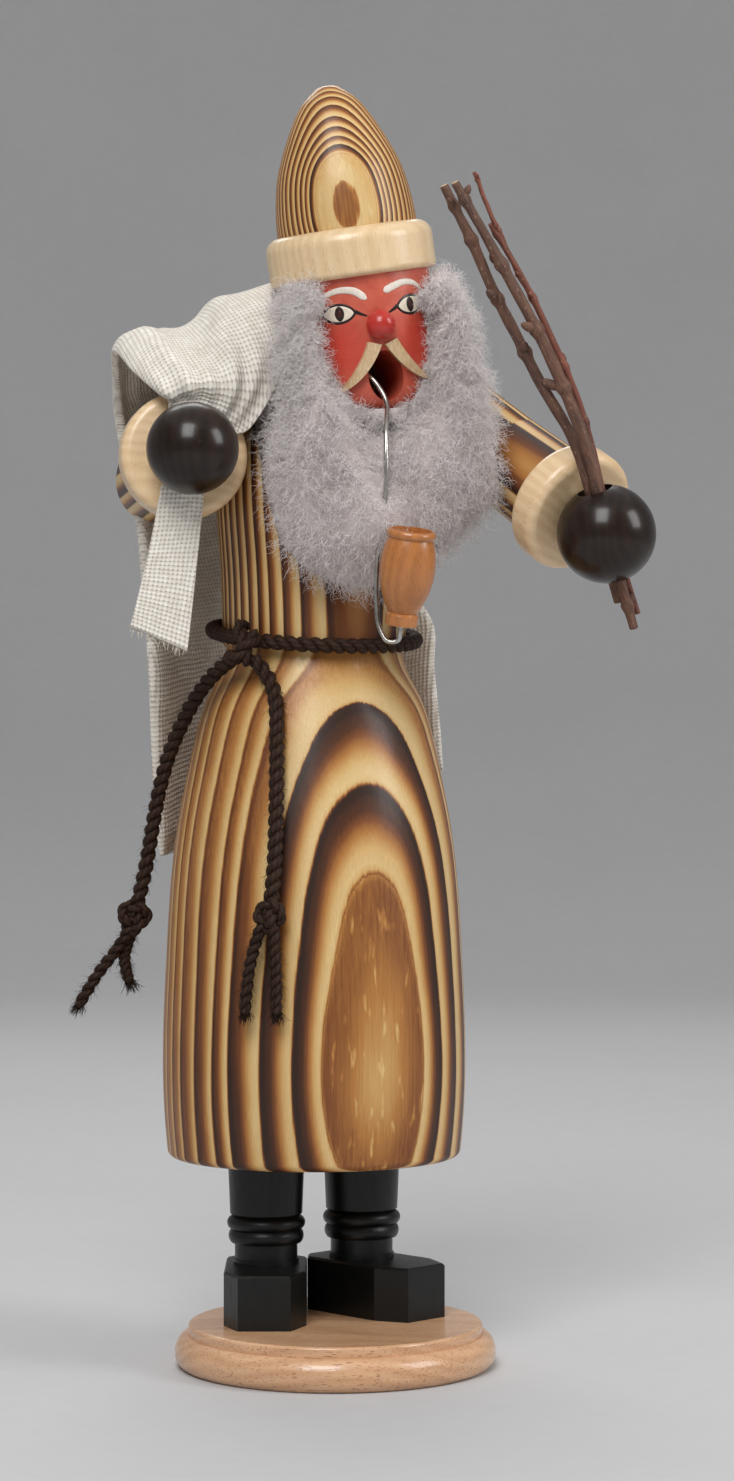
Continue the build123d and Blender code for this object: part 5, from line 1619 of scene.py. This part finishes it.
@dataclass
class Twigs:
    """Three twigs held in the left hand, one of them forked, with buds and cut ends."""

    stout: tuple = ((7.2, -55.9, 308.5), (25.8, -53.8, 276.4), (46.0, -51.8, 243.6), (55.2, -48.5, 221.5),
                    (62.0, -45.6, 204.0))
    long: tuple = ((8.3, -60.3, 308.7), (27.7, -59.0, 279.2), (46.5, -56.2, 245.8), (55.6, -52.2, 221.5),
                   (65.0, -48.5, 197.0))
    slim: tuple = ((19.2, -58.0, 299.4), (33.6, -56.8, 278.1), (47.6, -53.8, 251.7), (58.2, -49.9, 222.0),
                   (67.0, -46.6, 201.0))
    fork: tuple = ((13.9, -59.6, 311.8), (24.2, -57.9, 292.0), (31.6, -56.9, 281.0))

    def shoot(self, knots: Sequence, radii: Sequence[float], seed: int, buds: Sequence[float]) -> Shell:
        """A shoot: a wavering line that carries a circle, thicker at its joints, with a bud at each joint.

        Args:
            knots: Points of the shoot in millimetres.
            radii: Radii at the points.
            seed: Number that fixes its wavering.
            buds: Places of the joints from 0 to 1.

        Returns:
            The shoot's shell.
        """
        count = 150
        path = even(smooth(metres(knots), 200), count)
        share = np.linspace(0, 1, count)
        size = metres(np.interp(share, np.linspace(0, 1, len(radii)), radii))
        joints = np.exp(-((share[:, None] - np.asarray(buds)) / 0.011) ** 2)
        size = size * (1 + 0.45 * joints.sum(1) + 0.05 * ripple(share, share * 0, seed, 6, 4, 14))
        aside = np.array(TWIG_ASIDE)
        _, across, over = frames(path, aside)
        free = np.clip(np.minimum(share, 1 - share) * 8, 0, 1)[:, None]
        path = path + free * (across * ripple(share, share * 0, seed + 1, 5, 1, 5)[:, None]
                              + over * ripple(share, share * 0, seed + 2, 5, 1, 5)[:, None]) * 0.00028
        shell = tube(path, size, 10, aside)
        rng = np.random.default_rng(seed)
        tangent, across, over = frames(path, aside)
        for joint in buds:
            at = int(joint * (count - 1))
            turn = rng.uniform(0, 2 * np.pi)
            out = math.cos(turn) * across[at] + math.sin(turn) * over[at]
            aim = unit(out - 0.9 * tangent[at])
            along = np.linspace(0, 1, 9)
            line = path[at] + out * size[at] * 0.5 + along[:, None] * aim * rng.uniform(1.6, 3.2) * size[at]
            plump = size[at] * 0.62 * np.sin(np.pi * np.clip(along * 0.86 + 0.12, 0, 1)) ** 0.7
            shell = shell + tube(line, np.maximum(plump, 0.00008), 7, unit(np.cross(aim, out + 0.1)))
        return shell

    def cut(self, end: Sequence, inside: Sequence, radius: float) -> Shell:
        """A pale cut face: a thin domed disc on a shoot's end."""
        point, ahead = metres(end), unit(metres(end) - metres(inside))
        line = point + np.linspace(-0.0001, 0.00016, 4)[:, None] * ahead
        return tube(line, metres(radius) * np.array([0.93, 0.93, 0.88, 0.6]), 12, np.array(TWIG_ASIDE))

    def build(self) -> None:
        """Build the three twigs and their cut ends."""
        bark = BARK.material()
        stout = self.shoot(self.stout, (1.2, 1.45, 1.5, 1.5, 1.3), 11, (0.05, 0.13, 0.27, 0.40, 0.93))
        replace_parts(make_piece("twig_stout_bark", stout, bark, Body.UPPER), "twig_stout")
        long = self.shoot(self.long, (1.15, 1.5, 1.6, 1.6, 1.2), 17, (0.04, 0.19, 0.34, 0.47, 0.95))
        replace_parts(make_piece("twig_long_bark", long, bark, Body.UPPER), "twig_long")
        slim = self.shoot(self.slim, (0.75, 0.9, 0.95, 0.95, 0.8), 23, (0.03, 0.2, 0.38, 0.52))
        fork = self.shoot(self.fork, (0.55, 0.62, 0.7), 29, (0.06, 0.45, 0.8))
        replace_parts(make_piece("twig_forked_bark", slim + fork, REDDISH_BARK.material(), Body.UPPER),
                    "twig_forked")
        ends = (self.cut(self.stout[-1], self.stout[-2], 1.25) + self.cut(self.long[-1], self.long[-2], 1.15)
                + self.cut(self.stout[0], self.stout[1], 1.15) + self.cut(self.long[0], self.long[1], 1.1)
                + self.cut(self.slim[-1], self.slim[-2], 0.75))
        make_piece("twig_cuts", ends, CUT_WOOD.material(), Body.UPPER)


@dataclass
class Sack:
    """The linen sack: a flat bag down the back, drawn over the right shoulder and through the right hand."""

    rows: int = 260
    columns: int = 110
    knots: int = 9
    threads: int = 46
    bag: tuple = ((141, 25, 135.5, 159, 43.5, 48, 53.5), (143.5, 25, 150, 172, 44.5, 47.5, 52.5),
                  (147, 26, 172, 188, 46, 46.5, 51), (149, 27.5, 192, 203, 47, 45.5, 49.5),
                  (149.5, 49, 210, 222, 47.5, 44.5, 46.5), (149.5, 68, 226, 240, 48.2, 44, 44.8))
    drape: tuple = (
        ((-46.5, -45, -41.5, -36, -29.5, -21.5, -13, -4, 4), (39, 41.5, 44, 46, 48, 50, 51.5, 52, 51),
         (252, 255, 257, 258, 259.5, 261, 262, 262.5, 262)),
        ((-51.5, -50, -46.5, -42, -37, -30, -23, -15.5, -8), (28, 28.5, 29.5, 30.5, 31.5, 33, 35, 36.5, 38),
         (263, 267, 269, 268.5, 271, 276, 280, 283, 285)),
        ((-57.3, -54.8, -50.2, -44.8, -39.4, -31.3, -26, -20.9, -11.4),
         (12, 12.5, 13.5, 15, 16, 17, 17.5, 18, 18),
         (269.8, 274.4, 276.4, 275, 277, 282.3, 285, 287.7, 292)),
        ((-57, -54.5, -50.5, -45.5, -40, -34, -29, -24, -18.5), (0, 0, 0, 0, 0, 0, -0.5, -1, -1.5),
         (264, 268, 270.5, 269.5, 271, 275, 278, 281, 283.5)),
        ((-53, -51, -47, -43, -39, -34.5, -30, -25, -19.5),
         (-8.6, -10, -11.4, -12, -12, -11.5, -11, -10.5, -10),
         (257.5, 259, 261, 261.5, 262, 263, 264, 265, 266)),
        ((-50.5, -48, -45, -42, -39, -36, -33.5, -31, -28.4),
         (-8.8, -9.5, -10.3, -10.8, -11, -11, -10.8, -10.6, -10.2),
         (255.5, 256, 256.4, 256.2, 255.3, 254.2, 253, 251.5, 249.8)))
    strip: tuple = ((-42.6, -7.9, 247.5, 7.4, -1.4, 0.0), (-45.0, -7.4, 240.0, 5.6, -1.0, 0.0),
                    (-46.6, -7.6, 230.0, 5.8, -1.1, 0.0), (-49.0, -7.2, 214.0, 6.6, -1.2, 0.0),
                    (-52.4, -6.8, 194.0, 7.4, -1.4, -3.2))

    def net(self) -> Array:
        """Knots of the cloth's middle surface, in metres, as (rows, columns, 3).

        The bag's rows are arcs round the body's axis whose radius runs as a parabola from edge to edge. The
        drape's rows are given knot by knot. The strip's rows are straight.
        """
        share = np.linspace(0, 1, self.knots)[None]
        bag = np.array(self.bag)
        angle = np.radians(bag[:, :1] + (bag[:, 1:2] - bag[:, :1]) * share)
        rise = bag[:, 2:3] + (bag[:, 3:4] - bag[:, 2:3]) * share
        radius = (bag[:, 4:5] * (1 - share) * (1 - 2 * share) + bag[:, 5:6] * 4 * share * (1 - share)
                  + bag[:, 6:7] * share * (2 * share - 1))
        hull = np.stack([radius * np.cos(angle), AXIS_BACK + radius * np.sin(angle), rise], -1)
        drape = np.array(self.drape).swapaxes(1, 2)
        strip = np.array(self.strip)
        fall = strip[:, None, :3] + strip[:, None, 3:6] * np.linspace(-1, 1, self.knots)[None, :, None]
        return metres(np.concatenate([hull, drape, fall]))

    def sheet(self) -> tuple[Array, Array, Array]:
        """The cloth's middle surface, its normals and its half thickness on a fine grid."""
        net = self.net()
        rows = smooth(net, self.rows)
        middle = smooth(rows.swapaxes(0, 1), self.columns).swapaxes(0, 1)
        normal = unit(np.cross(np.gradient(middle, axis=0), np.gradient(middle, axis=1)))
        along = np.linspace(0, 1, self.rows)[:, None]
        cross = np.linspace(-1, 1, self.columns)[None]
        folds = (0.9 * np.exp(-((along - 0.48) / 0.12) ** 2) * np.sin(9.0 * cross + 7.0 * along)
                 + 0.55 * np.exp(-((along - 0.64) / 0.07) ** 2) * np.sin(17.0 * cross + 5.0 * along)
                 + 1.3 * np.exp(-((along - 0.2) / 0.18) ** 2) * np.sin(4.0 * cross + 14.0 * along)
                 + 0.30 * ripple(along * 3 + cross * 0, cross + along * 0, 8, 12, 0.6, 2.4))
        middle = middle + normal * metres(folds * np.clip((0.8 - along) * 8, 0.25, 1))[..., None]
        body = np.interp(along, (0.0, 0.03, 0.28, 0.40, 0.55, 0.66, 0.75, 1.0),
                         (0.8, 2.8, 2.6, 1.8, 1.4, 0.9, 0.55, 0.5))
        half = metres(body * np.clip(1 - np.abs(cross) ** 6, 0.0, 1.0) ** 0.5 + 0.30)
        return middle, normal, half

    def build(self) -> None:
        """Build the cloth and its frayed end."""
        middle, normal, half = self.sheet()
        outer, inner = middle + normal * half[..., None], middle - normal * half[..., None]
        rings = np.concatenate([outer, inner[:, ::-1]], axis=1)
        run = way_along(middle[:, self.columns // 2])
        steps = np.linalg.norm(np.diff(middle, axis=1), axis=2)
        across = np.hstack([np.zeros((self.rows, 1)), np.cumsum(steps, 1)])
        across -= across[:, self.columns // 2, None]
        shell = loft(rings, run, across=np.hstack([across, across[:, ::-1]]))
        piece = make_piece("sack_linen", shell, LINEN.material(), Body.UPPER)
        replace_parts(piece, "sack")
        rng, count = np.random.default_rng(6), self.threads
        spot, places = rng.uniform(0.04, 0.96, count), np.linspace(0, 1, self.columns)
        tip = np.stack([np.interp(spot, places, middle[-1, :, axis]) for axis in range(3)], 1)
        aims = unit(np.array([-0.10, -0.05, -1.0]) + rng.normal(size=(count, 3)) * 0.22)
        threads = fibres(tip + np.array([0, 0, 0.0005]), aims, rng.uniform(0.001, 0.0034, count),
                         np.full(count, 0.00025), rng.uniform(0.3, 1.0, count), np.full(count, 0.00017),
                         np.zeros((count, 3)), 9, 6)
        fray = make_piece("sack_fray", threads, THREAD.material(), Body.UPPER)
        area = float(sum(p.area for p in piece.data.polygons)) / 2
        LOG.info("sack: half surface %.5f m2, length %.3f m, width %.3f m", area, run[-1], steps.sum(1).max())


# Finishes shared by several pieces

STEEL = BareMetal("steel", paint(205, 203, 198), paint(150, 146, 140), rates=(3.0, 3.0, 0.4), rough=0.24)
DOWEL = CloseWood("dowel_wood", paint(222, 190, 146), paint(198, 160, 112), paint(160, 120, 80), pores=0.4,
                  origin=(0.0, 0.0, 250.0), depth=(0.3, 0.2, 1.0), grain=(1.0, 0.2, 0.0), coat=0.0,
                  coat_rough=0.3)
CORD = CordYarn("cord", paint(66, 41, 26), paint(24, 14, 8))
WOOL = Wool("wool", paint(250, 244, 242), paint(222, 213, 211))
# Darker tones than the hairs' wool: painted shade for the fleece deep in the beard between the hairs.
SHADED_UNDER_WOOL = Wool("wool_under_shaded", paint(214, 204, 202), paint(178, 167, 165))
LINEN = Linen("linen", 0.00118, paint(243, 238, 229), paint(216, 208, 195))
THREAD = BrushPaint("linen_thread", paint(232, 226, 214), paint(200, 190, 174), rates=(3.0,) * 3, rough=0.85,
                    coat=0.0, relief=0.3)
BARK = TwigBark("bark", paint(122, 86, 68), paint(62, 40, 32))
REDDISH_BARK = TwigBark("bark_reddish", paint(140, 82, 64), paint(76, 42, 34))
CUT_WOOD = BrushPaint("bark_cut", paint(206, 182, 142), paint(160, 132, 96), rates=(2.5,) * 3, rough=0.7,
                      coat=0.0, relief=0.3)
EYE_LINE = BrushPaint("eye_line", paint(44, 22, 18), paint(24, 12, 10), rates=(1.5,) * 3, rough=0.3, coat=0.3,
                      relief=0.2)
EYE_WHITE = BrushPaint("eye_white", paint(238, 228, 210), paint(220, 206, 184), rates=(1.2,) * 3, rough=0.35,
                       coat=0.3, relief=0.2)
EYE_SPOT = BrushPaint("eye_spot", paint(74, 30, 22), paint(58, 22, 17), rates=(0.6,) * 3, rough=0.25,
                      coat=0.4, relief=0.05)
BROW = BrushPaint("brow_white", paint(240, 232, 222), paint(218, 206, 190), rates=(1.8, 1.8, 0.7), rough=0.45,
                  coat=0.1, relief=0.5)
FLOOR = BrushPaint("studio_paper", paint(196, 196, 197), paint(190, 190, 191), rates=(0.004,) * 3,
                   rough=0.8, coat=0.0, relief=0.0)


@dataclass
class Studio:
    """Floor, backdrop, lamps and camera."""

    floor_radius: float = 1.3
    wall_radius: float = 2.2
    wall_height: float = 2.4
    steps: int = 14
    sides: int = 96
    sky: float = 0.53
    lens: float = 81.43
    sensor: float = 36.0
    camera_place: Triple = (-0.3366, -0.8348, 0.1675)
    camera_turn: float = -22.5

    def floor(self) -> None:
        """A pale floor that curves up all round: a profile of flat run and quarter circle, spun about Z."""
        steps, sides = self.steps, self.sides
        bend = np.linspace(0, np.pi / 2, steps)
        curve = self.wall_radius - self.floor_radius
        radius = np.concatenate([np.linspace(0.02, self.floor_radius, steps),
                                 self.floor_radius + curve * np.sin(bend[1:]), [self.wall_radius]])
        height = np.concatenate([np.zeros(steps), curve * (1 - np.cos(bend[1:])), [self.wall_height]])
        turn = np.linspace(0, 2 * np.pi, sides, endpoint=False)
        rings = np.stack([radius[:, None] * np.cos(turn), radius[:, None] * np.sin(turn),
                          np.broadcast_to(height[:, None], (len(radius), sides))], -1)
        i, j = np.meshgrid(np.arange(len(radius) - 1), np.arange(sides), indexing="ij")
        beside = (j + 1) % sides
        near, far = i * sides, (i + 1) * sides
        quads = np.stack([near + j, far + j, far + beside, near + beside], -1)
        faces = quads.reshape(-1, 4).tolist() + [list(range(sides))]
        mesh = bpy.data.meshes.new("studio_floor")
        mesh.from_pydata(rings.reshape(-1, 3).tolist(), [], faces)
        mesh.polygons.foreach_set("use_smooth", np.ones(len(mesh.polygons), dtype=bool))
        mesh.materials.append(FLOOR.material())
        floor = bpy.data.objects.new("studio_floor", mesh)
        bpy.context.scene.collection.objects.link(floor)

    def lamp(self, name: str, place: Sequence[float], target: Sequence[float], size: tuple[float, float],
             power: float) -> None:
        """Add a soft box that points at a target.

        Args:
            name: The lamp's name.
            place: Where it hangs.
            target: What it points at.
            size: Its width and height.
            power: Its power in watts.
        """
        data = bpy.data.lights.new(name, "AREA")
        data.shape = "RECTANGLE"
        data.size, data.size_y = size
        data.energy = power
        lamp = bpy.data.objects.new(name, data)
        lamp.location = place
        aim = unit(np.asarray(target) - np.asarray(place))
        lamp.rotation_euler = (math.acos(-aim[2]), 0.0, math.atan2(-aim[0], aim[1]))
        bpy.context.scene.collection.objects.link(lamp)

    def light(self) -> None:
        """Soft daylight all round, a large soft box high in front and weaker ones at the right and behind."""
        world = bpy.data.worlds.new("studio")
        world.use_nodes = True
        sky = world.node_tree.nodes["Background"]
        sky.inputs["Color"].default_value = (1.0, 1.0, 1.0, 1.0)
        sky.inputs["Strength"].default_value = self.sky
        bpy.context.scene.world = world
        self.lamp("key_box", (-0.55, -0.80, 1.05), (0.0, 0.0, 0.18), (0.55, 0.75), 11.4)
        self.lamp("right_box", (0.85, -0.75, 0.75), (0.0, 0.0, 0.18), (0.45, 0.65), 6.3)
        self.lamp("back_box", (0.2, 0.9, 1.1), (0.0, 0.0, 0.2), (0.8, 0.5), 5.0)

    def camera(self) -> None:
        """The camera at the photograph's place."""
        data = bpy.data.cameras.new("camera")
        data.lens = self.lens
        data.sensor_width = self.sensor
        data.clip_start = 0.01
        camera = bpy.data.objects.new("camera", data)
        camera.location = self.camera_place
        camera.rotation_euler = (math.radians(90.0), 0.0, math.radians(self.camera_turn))
        bpy.context.scene.collection.objects.link(camera)
        bpy.context.scene.camera = camera
        bpy.context.scene.view_settings.view_transform = "Standard"

    def build(self) -> None:
        """Build the floor, the lamps and the camera."""
        self.camera()
        self.floor()
        self.light()


def main() -> None:
    """Build every sub-assembly in order and report it."""
    logging.basicConfig(level=logging.INFO, format="%(name)s %(message)s")
    Studio().build()
    Stand().dress()
    Belt().build()
    head = Head()
    head.dress()
    head.face()
    Torso().dress()
    Arms().dress()
    Sack().build()
    Beard(head).build()
    Twigs().build()


if __name__ == "__main__":
    main()
